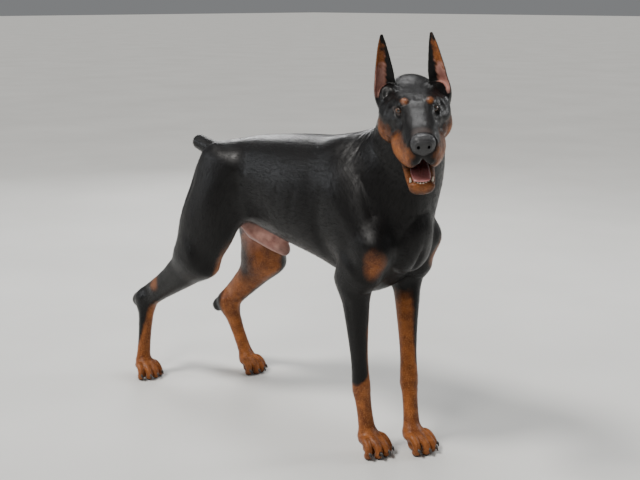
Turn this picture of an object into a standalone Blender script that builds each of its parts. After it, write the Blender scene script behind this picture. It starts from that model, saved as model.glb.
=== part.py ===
"""A standing doberman pinscher, life size, as a still museum model.

The dog faces +X with its left side at +Y. It is designed over the point of the ground under its
withers, from rounded forms that flow into one another, and moved at the end so that its origin
is the middle of its footprint. The head has its own axes: x to the nose, y to the left, z up,
from the point between the eyes.
"""

import math

import bmesh
import bpy
import numpy as np
from mathutils import Matrix, Vector

# Driving sizes, in metres
GAP = 0.0003
COARSE_VOXEL = 0.006
FINE_VOXEL = 0.0024
EAR_VOXEL = 0.0016
BODY_TRIANGLES = 4600
HEAD_TRIANGLES = 4300
PAW_TRIANGLES = 420
EAR_TRIANGLES = 4200
EYE_RADIUS = 0.0118
LID_THICKNESS = 0.0032
GAPE = math.radians(15.5)
RIGHT, LEFT = -1, 1
SIDES = {"right": RIGHT, "left": LEFT}
ORIGIN_SHIFT = Vector((0.2169, 0.0501, 0.0))

# Joints of the legs: x, y, z over the ground
FRONT_JOINTS = {
    RIGHT: {"shoulder": (0.095, -0.086, 0.480), "elbow": (0.024, -0.082, 0.388),
            "carpus": (0.040, -0.074, 0.148), "fetlock": (0.058, -0.073, 0.048)},
    LEFT: {"shoulder": (0.086, 0.084, 0.480), "elbow": (0.034, 0.082, 0.388),
           "carpus": (0.085, 0.038, 0.150), "fetlock": (0.117, 0.012, 0.048)},
}
HIND_JOINTS = {
    RIGHT: {"hip": (-0.432, -0.070, 0.580), "knee": (-0.497, -0.098, 0.356),
            "hock": (-0.730, -0.096, 0.205), "heel": (-0.768, -0.096, 0.200),
            "fetlock": (-0.722, -0.120, 0.048)},
    LEFT: {"hip": (-0.432, 0.070, 0.580), "knee": (-0.462, 0.100, 0.334),
           "hock": (-0.604, 0.088, 0.184), "heel": (-0.648, 0.086, 0.172),
           "fetlock": (-0.552, 0.102, 0.048)},
}
PAW_HEADING = {"front": {RIGHT: -0.10, LEFT: 0.05}, "hind": {RIGHT: -0.12, LEFT: 0.10}}

# The head's place, and its turn: yaw, pitch and roll in degrees
HEAD_PLACE = (0.252, -0.154, 0.792)
HEAD_TURN = (-44.7, 9.3, 3.2)


def unit(rows):
    rows = np.asarray(rows, float)
    return rows / np.linalg.norm(rows, axis=-1, keepdims=True)


def between(a, b, t):
    return np.asarray(a, float) * (1 - t) + np.asarray(b, float) * t


def smooth_rows(rows, per_span):
    """Rows of numbers along a Catmull-Rom curve through the given rows."""
    rows = np.asarray(rows, float)
    padded = np.vstack([2 * rows[0] - rows[1], rows, 2 * rows[-1] - rows[-2]])
    t = np.linspace(0, 1, per_span, endpoint=False)[:, None]
    found = []
    for a, b, c, d in zip(padded, padded[1:], padded[2:], padded[3:]):
        linear, square, cube = c - a, 2 * a - 5 * b + 4 * c - d, 3 * b - a - 3 * c + d
        found.append(0.5 * (2 * b + linear * t + square * t**2 + cube * t**3))
    return np.vstack(found + [rows[-1:]])


class Loft:
    """A rounded form along a line. A station is x, y, z and the radii to the side, front and back."""

    def __init__(self, stations, side=(0, 1, 0), side_end=None, power=2.0, cap=0.02, spans=5, blend=0.02):
        rows = smooth_rows(stations, spans)
        self.centre = rows[:, :3]
        self.radii = np.maximum(rows[:, 3:6], 0.0015)
        self.tangent = unit(np.gradient(self.centre, axis=0))
        mix = np.linspace(0, 1, len(rows))[:, None]
        across = between(side, side if side_end is None else side_end, mix)
        across -= (across * self.tangent).sum(1, keepdims=True) * self.tangent
        self.side = unit(across)
        self.front = np.cross(self.tangent, self.side)
        self.power, self.cap, self.blend = power, cap, blend

    def reach(self):
        most = self.radii.max() + self.cap
        return self.centre.min(0) - most, self.centre.max(0) + most

    def distance(self, points):
        nearest = np.full(len(points), np.inf)
        span = np.zeros(len(points), int)
        part = np.zeros(len(points))
        for i, (a, b) in enumerate(zip(self.centre, self.centre[1:])):
            along = b - a
            t = np.clip((points - a) @ along / (along @ along), 0, 1)
            square = ((points - a - t[:, None] * along) ** 2).sum(1)
            closer = square < nearest
            nearest[closer], span[closer], part[closer] = square[closer], i, t[closer]

        def there(rows):
            return rows[span] * (1 - part[:, None]) + rows[span + 1] * part[:, None]

        off = points - there(self.centre)
        radii = there(self.radii)
        aside = (off * unit(there(self.side))).sum(1)
        ahead = (off * unit(there(self.front))).sum(1)
        along = (off * unit(there(self.tangent))).sum(1)
        depth = np.where(ahead > 0, radii[:, 1], radii[:, 2])
        ratio = np.abs(aside / radii[:, 0]) ** self.power + np.abs(ahead / depth) ** self.power
        ratio = np.sqrt(ratio ** (2 / self.power) + (along / self.cap) ** 2)
        outside = np.sqrt((off**2).sum(1)) * (1 - 1 / np.maximum(ratio, 0.05))
        return np.where(ratio > 0.05, outside, -radii.min(1))

    def add_mesh(self, mesh, around=16):
        """Adds the form to a bmesh as rings joined by faces, with flat ends."""
        turn = np.linspace(0, 2 * math.pi, around, endpoint=False)
        wide, deep = np.cos(turn), np.sin(turn)
        wide = np.sign(wide) * np.abs(wide) ** (2 / self.power)
        deep = np.sign(deep) * np.abs(deep) ** (2 / self.power)
        rings = []
        for centre, radii, side, front in zip(self.centre, self.radii, self.side, self.front):
            depth = np.where(deep > 0, radii[1], radii[2]) * deep
            ring = centre + np.outer(wide * radii[0], side) + np.outer(depth, front)
            rings.append([mesh.verts.new(point) for point in ring])
        join_rings(mesh, rings)


def join_rings(mesh, rings):
    """Faces between rings of points, and a flat face on each end."""
    count = len(rings[0])
    for low, high in zip(rings, rings[1:]):
        for i in range(count):
            j = (i + 1) % count
            mesh.faces.new((low[i], low[j], high[j], high[i]))
    mesh.faces.new(rings[0][::-1])
    mesh.faces.new(rings[-1])


class Ball:
    """An ellipsoid. The rows of axes are its own three directions."""

    def __init__(self, centre, radii, axes=None, blend=0.02):
        self.centre = np.asarray(centre, float)
        self.radii = np.asarray(radii, float) * np.ones(3)
        self.axes = np.eye(3) if axes is None else np.asarray(axes, float)
        self.blend = blend

    def reach(self):
        return self.centre - self.radii.max(), self.centre + self.radii.max()

    def ratio(self, points):
        return np.sqrt((((points - self.centre) @ self.axes.T / self.radii) ** 2).sum(1))

    def distance(self, points):
        ratio = self.ratio(points)
        length = np.sqrt(((points - self.centre) ** 2).sum(1))
        return np.where(ratio > 0.05, length * (1 - 1 / np.maximum(ratio, 0.05)), -self.radii.min())

    def add_mesh(self, mesh, around=16):
        scale = Matrix.Diagonal((*self.radii, 1))
        place = Matrix.Translation(self.centre) @ Matrix(self.axes.T.tolist()).to_4x4() @ scale
        bmesh.ops.create_uvsphere(mesh, u_segments=around, v_segments=10, radius=1, matrix=place)


class Shell:
    """An ear: a leaf that narrows to its tip and is bent back in its middle, so that it is a cup."""

    def __init__(self, root, tip, outward, rows, spans=6, blend=0.010):
        self.root = np.asarray(root, float)
        self.length = float(np.linalg.norm(np.asarray(tip, float) - self.root))
        self.up = unit(np.asarray(tip, float) - self.root)
        outward = np.asarray(outward, float)
        self.out = unit(outward - (outward @ self.up) * self.up)
        self.back = unit(np.cross(self.up, self.out))
        if self.back[0] > 0:
            self.back = -self.back
        self.rows = smooth_rows(rows, spans)
        self.blend = blend

    def reach(self):
        most = self.length * 1.1
        return self.root - most * 0.7, self.root + most

    def at(self, height):
        share = height / self.length
        return [np.interp(share, self.rows[:, 0], self.rows[:, i]) for i in (1, 2, 3, 4, 5)]

    def distance(self, points):
        off = points - self.root
        height, out, back = off @ self.up, off @ self.out, off @ self.back
        middle, half, cup, thick, lean = self.at(height)
        across = (out - middle) / half
        bend = cup * (1 - across**2) + lean
        slope = np.sqrt(1 + (2 * cup * across / half) ** 2)
        face = np.abs(back - bend) / slope - thick
        rim = (np.abs(across) - 1) * half
        top = height - self.length * self.rows[-1, 0]
        bottom = self.length * self.rows[0, 0] - height
        edge = np.maximum(np.maximum(rim, top), bottom)
        corner = thick * 0.8
        outer = np.hypot(np.maximum(face + corner, 0), np.maximum(edge + corner, 0))
        return outer + np.minimum(np.maximum(face, edge) + corner, 0) - corner

    def add_mesh(self, mesh, around=9):
        rings = []
        for share, *_ in self.rows:
            height = share * self.length
            middle, half, cup, thick, lean = self.at(height)
            across = np.linspace(-1, 1, around)
            bend = cup * (1 - across**2) + lean
            front = self.line(height, middle + across * half, bend - thick)
            rear = self.line(height, middle + across * half, bend + thick)
            rings.append([mesh.verts.new(point) for point in np.vstack([front, rear[::-1]])])
        join_rings(mesh, rings)

    def line(self, height, out, back):
        return self.root + height * self.up + np.outer(out, self.out) + np.outer(back, self.back)


class Swell:
    """Moves the surface out, or in where amount is below 0, fading to nothing at the radii."""

    def __init__(self, centre, radii, amount, axes=None):
        self.ball = Ball(centre, radii, axes)
        self.amount = amount
        self.reach = self.ball.reach

    def change(self, points):
        return self.amount * np.clip(1 - self.ball.ratio(points) ** 2, 0, 1) ** 2


class Crease:
    """Moves the surface along a line through the points: a ridge, or a groove where below 0."""

    def __init__(self, line, width, amount):
        self.line = smooth_rows(line, 5)
        self.width, self.amount = width, amount

    def reach(self):
        return self.line.min(0) - 3 * self.width, self.line.max(0) + 3 * self.width

    def change(self, points):
        nearest = np.full(len(points), np.inf)
        place = np.zeros(len(points))
        for i, (a, b) in enumerate(zip(self.line, self.line[1:])):
            along = b - a
            t = np.clip((points - a) @ along / (along @ along), 0, 1)
            square = ((points - a - t[:, None] * along) ** 2).sum(1)
            closer = square < nearest
            nearest[closer], place[closer] = square[closer], (i + t[closer]) / (len(self.line) - 1)
        ends = np.clip(np.minimum(place, 1 - place) * 5, 0, 1)
        return self.amount * ends * np.exp(-nearest / self.width**2)


def smooth_least(a, b, reach):
    """The lesser of a and b, rounded over where they are within reach of each other."""
    share = np.clip(0.5 + 0.5 * (b - a) / reach, 0, 1)
    return b * (1 - share) + a * share - reach * share * (1 - share)


def depth_of(points, forms):
    """How far the points are outside the forms taken together, about in metres."""
    depth = np.full(len(points), 1.0)
    for kind, form in forms:
        low, high = form.reach()
        margin = 0.0 if kind == "move" else form.blend + 0.03
        near = np.nonzero(((points > low - margin) & (points < high + margin)).all(1))[0]
        if not len(near):
            continue
        if kind == "move":
            depth[near] -= form.change(points[near])
        elif kind == "add":
            depth[near] = smooth_least(depth[near], form.distance(points[near]), form.blend)
        else:
            depth[near] = -smooth_least(-depth[near], form.distance(points[near]), form.blend)
    return depth


# The body


def torso_forms():
    """Stations from the croup to the breastbone: x, y, z, half width, rise and drop."""
    trunk = Loft([
        (-0.540, 0, 0.566, 0.050, 0.050, 0.058), (-0.500, 0, 0.567, 0.074, 0.080, 0.088),
        (-0.430, 0, 0.568, 0.088, 0.097, 0.098), (-0.360, 0, 0.565, 0.094, 0.115, 0.104),
        (-0.280, 0, 0.555, 0.107, 0.135, 0.112), (-0.200, 0, 0.545, 0.118, 0.151, 0.117),
        (-0.130, 0, 0.535, 0.119, 0.166, 0.121), (-0.070, 0, 0.530, 0.113, 0.177, 0.135),
        (-0.010, 0, 0.525, 0.102, 0.184, 0.158), (0.050, 0, 0.505, 0.088, 0.160, 0.164),
        (0.098, 0, 0.487, 0.070, 0.110, 0.124), (0.122, 0, 0.478, 0.050, 0.062, 0.070),
    ], power=2.2, cap=0.03)
    forms = [("add", trunk)]
    for s in (RIGHT, LEFT):
        forms.append(("move", Swell((0.100, s * 0.036, 0.455), (0.06, 0.04, 0.07), 0.010)))
        forms.append(("move", Swell((-0.30, s * 0.06, 0.655), (0.20, 0.05, 0.05), 0.004)))
        forms.append(("move", Swell((-0.300, s * 0.110, 0.500), (0.09, 0.06, 0.10), -0.006)))
    forms.append(("move", Swell((0.115, 0, 0.500), (0.05, 0.014, 0.10), -0.006)))
    return forms


def sheath_forms():
    """The soft parts under the belly of a male, kept plain."""
    sheath = Loft([
        (-0.395, 0, 0.432, 0.022, 0.022, 0.022), (-0.330, 0, 0.412, 0.020, 0.020, 0.021),
        (-0.283, 0, 0.398, 0.015, 0.015, 0.016),
    ], cap=0.014, blend=0.025)
    return [("add", sheath)]


def neck_forms():
    neck = Loft([
        (-0.010, 0.008, 0.555, 0.096, 0.110, 0.125), (0.050, 0.018, 0.620, 0.095, 0.108, 0.118),
        (0.096, 0.003, 0.682, 0.079, 0.092, 0.098), (0.130, -0.031, 0.734, 0.067, 0.078, 0.082),
        (0.157, -0.062, 0.777, 0.059, 0.068, 0.068), (0.182, -0.087, 0.802, 0.053, 0.058, 0.058),
    ], side_end=(0.5, 0.86, 0), cap=0.03, blend=0.045)
    throat = [(0.215, -0.100, 0.690), (0.176, -0.050, 0.610), (0.140, -0.020, 0.530)]
    return [("add", neck), ("move", Crease(throat, 0.022, 0.006))]


def tail_forms():
    """A docked tail."""
    return [("add", Loft([
        (-0.478, 0, 0.600, 0.030, 0.034, 0.034), (-0.530, 0, 0.618, 0.024, 0.026, 0.026),
        (-0.572, 0, 0.629, 0.0215, 0.0220, 0.0220), (-0.605, 0, 0.638, 0.0200, 0.0205, 0.0205),
    ], cap=0.018, blend=0.026))]


def front_leg_forms(s):
    shoulder, elbow, carpus, fetlock = (np.array(FRONT_JOINTS[s][k]) for k in
                                        ("shoulder", "elbow", "carpus", "fetlock"))
    blade = Loft([
        (-0.055, s * 0.045, 0.655, 0.020, 0.035, 0.040), (-0.020, s * 0.070, 0.590, 0.030, 0.050, 0.060),
        (0.030, s * 0.080, 0.520, 0.036, 0.055, 0.065),
        (shoulder[0] - 0.020, s * 0.082, 0.478, 0.038, 0.045, 0.055),
    ], cap=0.03, blend=0.05)
    upper = Loft([
        (*shoulder, 0.036, 0.034, 0.040), (*between(shoulder, elbow, 0.5), 0.038, 0.042, 0.048),
        (*elbow, 0.034, 0.034, 0.044),
    ], cap=0.028, blend=0.03)
    lower = Loft([
        (*between(shoulder, elbow, 0.62), 0.036, 0.042, 0.052), (*elbow, 0.031, 0.038, 0.041),
        (*between(elbow, carpus, 0.20), 0.0285, 0.0335, 0.0320),
        (*between(elbow, carpus, 0.48), 0.0235, 0.0245, 0.0250),
        (*between(elbow, carpus, 0.76), 0.0198, 0.0200, 0.0205),
        (*carpus, 0.0222, 0.0212, 0.0215), (*between(carpus, fetlock, 0.28), 0.0200, 0.0180, 0.0180),
        (*between(carpus, fetlock, 0.62), 0.0195, 0.0168, 0.0170), (*fetlock, 0.0225, 0.0185, 0.0180),
    ], cap=0.018, spans=4, blend=0.028)
    elbow_point = Ball(elbow + (-0.036, s * 0.002, 0.006), (0.015, 0.015, 0.019), blend=0.018)
    stop_pad = Ball(between(carpus, fetlock, 0.10) + (-0.018, 0, 0), (0.008, 0.009, 0.010), blend=0.008)
    return [("add", blade), ("add", upper), ("add", lower), ("add", elbow_point), ("add", stop_pad)]


def hind_leg_forms(s):
    hip, knee, hock, heel, fetlock = (np.array(HIND_JOINTS[s][k]) for k in
                                      ("hip", "knee", "hock", "heel", "fetlock"))
    thigh = Loft([
        (*(hip + (0.005, 0, 0.03)), 0.042, 0.078, 0.070), (*between(hip, knee, 0.30), 0.051, 0.090, 0.090),
        (*between(hip, knee, 0.65), 0.050, 0.080, 0.096), (*between(hip, knee, 0.98), 0.040, 0.052, 0.086),
    ], cap=0.04, spans=4, blend=0.05)
    shank = Loft([
        (*between(knee, hock, -0.06), 0.038, 0.046, 0.055), (*between(knee, hock, 0.20), 0.037, 0.044, 0.054),
        (*between(knee, hock, 0.50), 0.030, 0.035, 0.040),
        (*between(knee, hock, 0.80), 0.0235, 0.0265, 0.030),
        (*hock, 0.0225, 0.0270, 0.0270),
    ], cap=0.022, spans=4, blend=0.04)
    cannon = Loft([
        (*(hock + (-0.010, 0, 0.004)), 0.0220, 0.0270, 0.0265),
        (*between(hock, fetlock, 0.22), 0.0200, 0.0220, 0.0250),
        (*between(hock, fetlock, 0.50), 0.0178, 0.0185, 0.0205),
        (*between(hock, fetlock, 0.78), 0.0178, 0.0175, 0.0190),
        (*fetlock, 0.0205, 0.0180, 0.0190),
    ], cap=0.018, spans=4, blend=0.025)
    tendon = Loft([
        (*(between(knee, hock, 0.40) + (-0.040, 0, -0.014)), 0.014, 0.014, 0.014),
        (*(between(knee, hock, 0.76) + (-0.030, 0, 0.008)), 0.010, 0.010, 0.010),
        (*heel, 0.0115, 0.0115, 0.0115),
    ], cap=0.012, blend=0.020)
    heel_bone = Ball(heel, (0.0125, 0.0135, 0.017), blend=0.015)
    hollow = between(knee, hock, 0.80) + (-0.020, s * 0.022, 0.004)
    return [("add", thigh), ("add", shank), ("add", cannon), ("add", tendon), ("add", heel_bone),
            ("move", Swell(hollow, (0.035, 0.016, 0.018), -0.0035)),
            ("move", Swell(hollow - (0, s * 0.044, 0), (0.035, 0.016, 0.018), -0.0035))]


TOES = ((-0.0250, 0.040, -0.12), (-0.0088, 0.053, -0.04), (0.0088, 0.053, 0.04), (0.0250, 0.040, 0.12))


def paw_frame(fetlock, heading, size):
    """A function from distances forward, to the left and up of the fetlock's foot to a place."""
    ahead = np.array([math.cos(heading), math.sin(heading), 0])
    left = np.array([-math.sin(heading), math.cos(heading), 0])
    foot = np.array([fetlock[0], fetlock[1], 0.0])

    def at(forward, aside, up):
        return foot + size * (forward * ahead + aside * left + up * np.array([0, 0, 1]))

    return at, np.array([ahead, left, [0, 0, 1]])


def paw_forms(fetlock, heading, size):
    """The middle of the foot, its big pad, and four arched toes with a pad under each."""
    at, axes = paw_frame(fetlock, heading, size)
    forms = [
        ("add", Ball(at(0.010, 0, 0.034), np.array((0.028, 0.0255, 0.019)) * size, axes, blend=0.018)),
        ("add", Ball(at(0.012, 0, 0.012), np.array((0.019, 0.0185, 0.0145)) * size, axes, blend=0.010)),
    ]
    for aside, reach, fan in TOES:
        turned = aside + fan * 0.05
        toe = Loft([
            (*at(0.006, aside * 0.80, 0.036), 0.0098, 0.0095, 0.0095),
            (*at(reach * 0.55, aside, 0.0375), 0.0098, 0.0100, 0.0100),
            (*at(reach * 0.86, (aside + turned) / 2, 0.0275), 0.0096, 0.0100, 0.0105),
            (*at(reach, turned, 0.0150), 0.0088, 0.0095, 0.0095),
        ], side=tuple(axes[1]), cap=0.008, spans=3, blend=0.006)
        forms.append(("add", toe))
        forms.append(("add", Ball(at(reach * 0.90, turned, 0.0085), (0.0105, 0.0078, 0.0100), axes,
                                  blend=0.005)))
    return forms


def claw_meshes(fetlock, heading, size):
    """Four curved, tapering claws of six sides, their roots deep in the toes."""
    at, _ = paw_frame(fetlock, heading, size)
    found = []
    for aside, reach, fan in TOES:
        turned = aside + fan * 0.07
        line = [(reach - 0.004, turned, 0.0170), (reach + 0.0065, turned, 0.0168),
                (reach + 0.0120, turned, 0.0130), (reach + 0.0150, turned, 0.0075)]
        radii = (0.0040, 0.0036, 0.0027, 0.0009)
        rows = [(*at(*place), r, r * 1.15, r * 1.15) for place, r in zip(line, radii)]
        claw = Loft(rows, spans=1, cap=0.001)
        mesh = bmesh.new()
        claw.add_mesh(mesh, around=6)
        found.append(new_object("claw", mesh))
    return found


def paws():
    """Node name, side, fetlock, heading and size of the four paws."""
    for end, joints, size in (("front", FRONT_JOINTS, 1.0), ("hind", HIND_JOINTS, 0.93)):
        for word, s in SIDES.items():
            yield f"{end}_paw_{word}", joints[s]["fetlock"], PAW_HEADING[end][s], size


def body_forms():
    forms = torso_forms() + neck_forms()
    for s in (RIGHT, LEFT):
        forms += front_leg_forms(s) + hind_leg_forms(s)
    for _, fetlock, heading, size in paws():
        forms += paw_forms(fetlock, heading, size)
    return forms + tail_forms() + sheath_forms()


# The head, in its own axes


def jaw_place(x, y, z):
    """A place on the closed lower jaw, turned open about its hinge."""
    hinge = np.array([-0.055, 0, -0.045])
    off = np.array([x, y, z]) - hinge
    ahead = off[0] * math.cos(GAPE) + off[2] * math.sin(GAPE)
    up = off[2] * math.cos(GAPE) - off[0] * math.sin(GAPE)
    return hinge + np.array([ahead, off[1], up])


def eye_axes(s):
    """The rows are the way the eye looks, the line of its lids and the way up between them."""
    look = unit((0.89, s * 0.43, 0.10))
    lids = unit(np.cross((0.0, 0.0, 1.0), look) + (0, 0, s * 0.30))
    return np.array([look, lids, np.cross(look, lids)])


def eye_centre(s):
    return np.array([-0.0085, s * 0.0315, -0.001])


def skull_forms():
    skull = Loft([
        (-0.132, 0, 0.002, 0.043, 0.034, 0.045), (-0.102, 0, 0.000, 0.059, 0.037, 0.056),
        (-0.066, 0, -0.002, 0.066, 0.036, 0.064), (-0.030, 0, -0.006, 0.062, 0.037, 0.064),
        (0.000, 0, -0.016, 0.049, 0.041, 0.056), (0.025, 0, -0.027, 0.0405, 0.042, 0.046),
        (0.055, 0, -0.035, 0.0365, 0.040, 0.036), (0.085, 0, -0.040, 0.0345, 0.036, 0.028),
        (0.107, 0, -0.043, 0.0310, 0.029, 0.020),
    ], power=2.5, cap=0.013, spans=4)
    forms = [("add", skull)]
    for s in (RIGHT, LEFT):
        forms += [
            ("add", Ball((-0.050, s * 0.044, -0.040), (0.042, 0.0290, 0.040), blend=0.018)),
            ("add", Loft([
                (0.108, s * 0.0140, -0.059, 0.0125, 0.0160, 0.021),
                (0.095, s * 0.0225, -0.062, 0.0135, 0.0225, 0.026),
                (0.066, s * 0.0330, -0.063, 0.0130, 0.0215, 0.025),
                (0.034, s * 0.0405, -0.063, 0.0120, 0.0165, 0.020),
                (0.006, s * 0.0430, -0.060, 0.0100, 0.0135, 0.014),
                (-0.018, s * 0.0440, -0.056, 0.008, 0.012, 0.012),
            ], cap=0.010, spans=3, blend=0.012)),
            ("move", Swell((0.004, s * 0.030, 0.021), (0.024, 0.020, 0.014), 0.0050)),
            ("move", Swell((-0.010, s * 0.056, -0.020), (0.040, 0.020, 0.014), 0.0030)),
            ("move", Swell((0.036, s * 0.037, -0.012), (0.036, 0.020, 0.022), -0.0075)),
            ("move", Swell((0.012, s * 0.035, 0.000), (0.020, 0.016, 0.015), -0.0065)),
            ("move", Swell((-0.052, s * 0.056, 0.018), (0.036, 0.020, 0.024), -0.0040)),
            ("move", Swell((0.092, s * 0.027, -0.047), (0.022, 0.014, 0.018), 0.0020)),
        ]
    forehead = [(0.012, 0, 0.018), (-0.020, 0, 0.033), (-0.070, 0, 0.038)]
    lip_cleft = [(0.122, 0, -0.050), (0.122, 0, -0.062), (0.118, 0, -0.082)]
    forms.append(("move", Crease(forehead, 0.006, -0.0018)))
    forms.append(("move", Crease(lip_cleft, 0.0018, -0.0022)))
    return forms


def lid_forms():
    forms = []
    for s in (RIGHT, LEFT):
        axes, centre = eye_axes(s), eye_centre(s)
        socket = centre + axes[0] * 0.016
        forms += [
            ("move", Swell(socket + axes[1] * s * -0.008, (0.020, 0.018, 0.016), -0.0045, axes)),
            ("add", Ball(centre, EYE_RADIUS + LID_THICKNESS, blend=0.005)),
        ]
    return forms


def lid_opening(s):
    """What is cut from the lids to show the eye."""
    axes = eye_axes(s)
    return Ball(eye_centre(s) + axes[0] * 0.0140, (0.0100, 0.0150, 0.0084), axes, blend=0.0010)


def jaw_forms():
    rows = [((-0.060, 0, -0.066), 0.048, 0.020, 0.032), ((-0.020, 0, -0.080), 0.041, 0.018, 0.029),
            ((0.020, 0, -0.089), 0.033, 0.011, 0.023), ((0.060, 0, -0.092), 0.0295, 0.0095, 0.0200),
            ((0.090, 0, -0.0930), 0.0270, 0.0090, 0.0180)]
    jaw = Loft([(*jaw_place(*place), side, up, down) for place, side, up, down in rows],
               power=2.3, cap=0.010, blend=0.014)
    rim = [jaw_place(x, y, z) for x, y, z in
           ((0.030, -0.028, -0.080), (0.080, -0.022, -0.083), (0.101, 0, -0.084), (0.080, 0.022, -0.083),
            (0.030, 0.028, -0.080))]
    bed = Loft([
        (*jaw_place(0.000, 0, -0.079), 0.020, 0.006, 0.006),
        (*jaw_place(0.085, 0, -0.080), 0.0195, 0.006, 0.006),
    ], cap=0.008, blend=0.003)
    return [("add", jaw), ("cut", mouth_form()), ("cut", bed), ("move", Crease(rim, 0.004, 0.0010))]


def mouth_form():
    """The space between the open jaws, from the corners of the lips to past the nose."""
    return Loft([
        (-0.020, 0, -0.077, 0.026, 0.003, 0.004), (0.012, 0, -0.0835, 0.031, 0.005, 0.0080),
        (0.050, 0, -0.0930, 0.025, 0.0170, 0.0110), (0.090, 0, -0.1010, 0.0215, 0.0260, 0.0160),
        (0.130, 0, -0.1090, 0.026, 0.0370, 0.0200),
    ], power=3.0, cap=0.006, blend=0.003)


def ear_forms(s):
    """A cropped ear, upright. A row is the share of the height, middle, half width, cup, thickness, lean."""
    rows = [(-0.34, 0.005, 0.010, 0.004, 0.0040, 0.006), (-0.16, 0.004, 0.0190, 0.013, 0.0036, 0.004),
            (0.03, 0.0025, 0.0235, 0.015, 0.0032, 0.002), (0.30, 0.002, 0.0205, 0.011, 0.0028, 0.000),
            (0.55, 0.0015, 0.0155, 0.007, 0.0026, 0.001), (0.80, 0.001, 0.0095, 0.003, 0.0023, 0.002),
            (1.00, 0.000, 0.0028, 0.001, 0.0018, 0.003)]
    shapes = {RIGHT: ((-0.070, -0.0530, 0.022), (-0.078, -0.0580, 0.134), (0.35, -1.0, 0)),
              LEFT: ((-0.070, 0.0510, 0.022), (-0.078, 0.0360, 0.133), (0.75, 1.0, 0))}
    return [
        ("add", Ball((-0.068, s * 0.050, 0.015), (0.026, 0.022, 0.026), blend=0.012)),
        ("add", Shell(*shapes[s], rows)),
        ("cut", Ball((-0.056, s * 0.053, 0.032), (0.012, 0.0150, 0.024), blend=0.006)),
    ]


def nose_forms():
    """The bare nose pad, with its nostrils."""
    pad = Loft([
        (0.098, 0, -0.0330, 0.0200, 0.0150, 0.0170), (0.110, 0, -0.0330, 0.0235, 0.0175, 0.0190),
        (0.120, 0, -0.0345, 0.0225, 0.0160, 0.0195), (0.126, 0, -0.0360, 0.0170, 0.0115, 0.0150),
    ], power=2.4, cap=0.004, blend=0.004)
    forms = [("add", pad)]
    for s in (RIGHT, LEFT):
        hole = Loft([
            (0.126, s * 0.0085, -0.0365, 0.0042, 0.0048, 0.0048),
            (0.121, s * 0.0120, -0.0350, 0.0036, 0.0040, 0.0040),
        ], side=(0.3, s, 0), cap=0.003, blend=0.002)
        slit = Loft([
            (0.124, s * 0.0110, -0.0380, 0.0030, 0.0022, 0.0022),
            (0.114, s * 0.0235, -0.0420, 0.0030, 0.0016, 0.0016),
        ], side=(0, 0, 1), cap=0.003, blend=0.002)
        forms += [("cut", hole), ("cut", slit)]
    return forms


def tongue_forms():
    rows = [((-0.005, 0, -0.083), 0.0150, 0.0045, 0.0050), ((0.030, 0, -0.0800), 0.0180, 0.0050, 0.0050),
            ((0.065, 0, -0.0790), 0.0190, 0.0045, 0.0045), ((0.086, 0, -0.0795), 0.0165, 0.0035, 0.0035)]
    tongue = Loft([(*jaw_place(*place), side, up, down) for place, side, up, down in rows],
                  power=2.3, cap=0.007, blend=0.004)
    groove = [tuple(jaw_place(x, 0, -0.074)) for x in (0.005, 0.045, 0.084)]
    return [("add", tongue), ("move", Crease(groove, 0.003, -0.0012))]


def tooth_meshes():
    """The two lower canines, which the open mouth shows."""
    found = []
    for s in (RIGHT, LEFT):
        rows = [(*jaw_place(0.084, s * 0.0205, -0.0900), 0.0036, 0.0042, 0.0042),
                (*jaw_place(0.0865, s * 0.0212, -0.0820), 0.0034, 0.0038, 0.0038),
                (*jaw_place(0.0865, s * 0.0222, -0.0765), 0.0024, 0.0026, 0.0026),
                (*jaw_place(0.0850, s * 0.0230, -0.0715), 0.0006, 0.0006, 0.0006)]
        mesh = bmesh.new()
        Loft(rows, spans=1, cap=0.001).add_mesh(mesh, around=6)
        found.append(new_object("tooth", mesh))
    return found


def head_matrix():
    yaw, pitch, roll = (math.radians(angle) for angle in HEAD_TURN)
    turn = Matrix.Rotation(yaw, 4, "Z") @ Matrix.Rotation(pitch, 4, "Y") @ Matrix.Rotation(roll, 4, "X")
    return Matrix.Translation(HEAD_PLACE) @ turn


def head_forms():
    return skull_forms() + jaw_forms() + lid_forms() + ear_forms(RIGHT) + ear_forms(LEFT)


def dog_depth(points):
    """How far the points, in the body's frame, are outside the dog."""
    to_head = np.array(head_matrix().inverted())
    in_head = points @ to_head[:3, :3].T + to_head[:3, 3]
    return smooth_least(depth_of(points, body_forms()), depth_of(in_head, head_forms()), 0.016)


# Meshes


def new_object(name, mesh):
    """An object from a bmesh, which is freed, with its faces turned out."""
    bmesh.ops.recalc_face_normals(mesh, faces=mesh.faces)
    data = bpy.data.meshes.new(name)
    mesh.to_mesh(data)
    mesh.free()
    made = bpy.data.objects.new(name, data)
    bpy.context.scene.collection.objects.link(made)
    return made


def apply_modifiers(target):
    graph = bpy.context.evaluated_depsgraph_get()
    old = target.data
    target.data = bpy.data.meshes.new_from_object(target.evaluated_get(graph))
    target.modifiers.clear()
    bpy.data.meshes.remove(old)


def remesh(target, voxel):
    change = target.modifiers.new("voxels", "REMESH")
    change.mode = "VOXEL"
    change.voxel_size = voxel
    apply_modifiers(target)


def boolean(target, other, operation, solver="EXACT"):
    change = target.modifiers.new("boolean", "BOOLEAN")
    change.operation = operation
    change.object = other
    change.solver = solver
    apply_modifiers(target)


def discard(*objects):
    for thing in objects:
        bpy.data.objects.remove(thing)


def vectors(target, field):
    """The vertices' co or normal, as an array."""
    flat = np.empty(len(target.data.vertices) * 3, np.float32)
    target.data.vertices.foreach_get(field, flat)
    return flat.reshape(-1, 3).astype(float)


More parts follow.
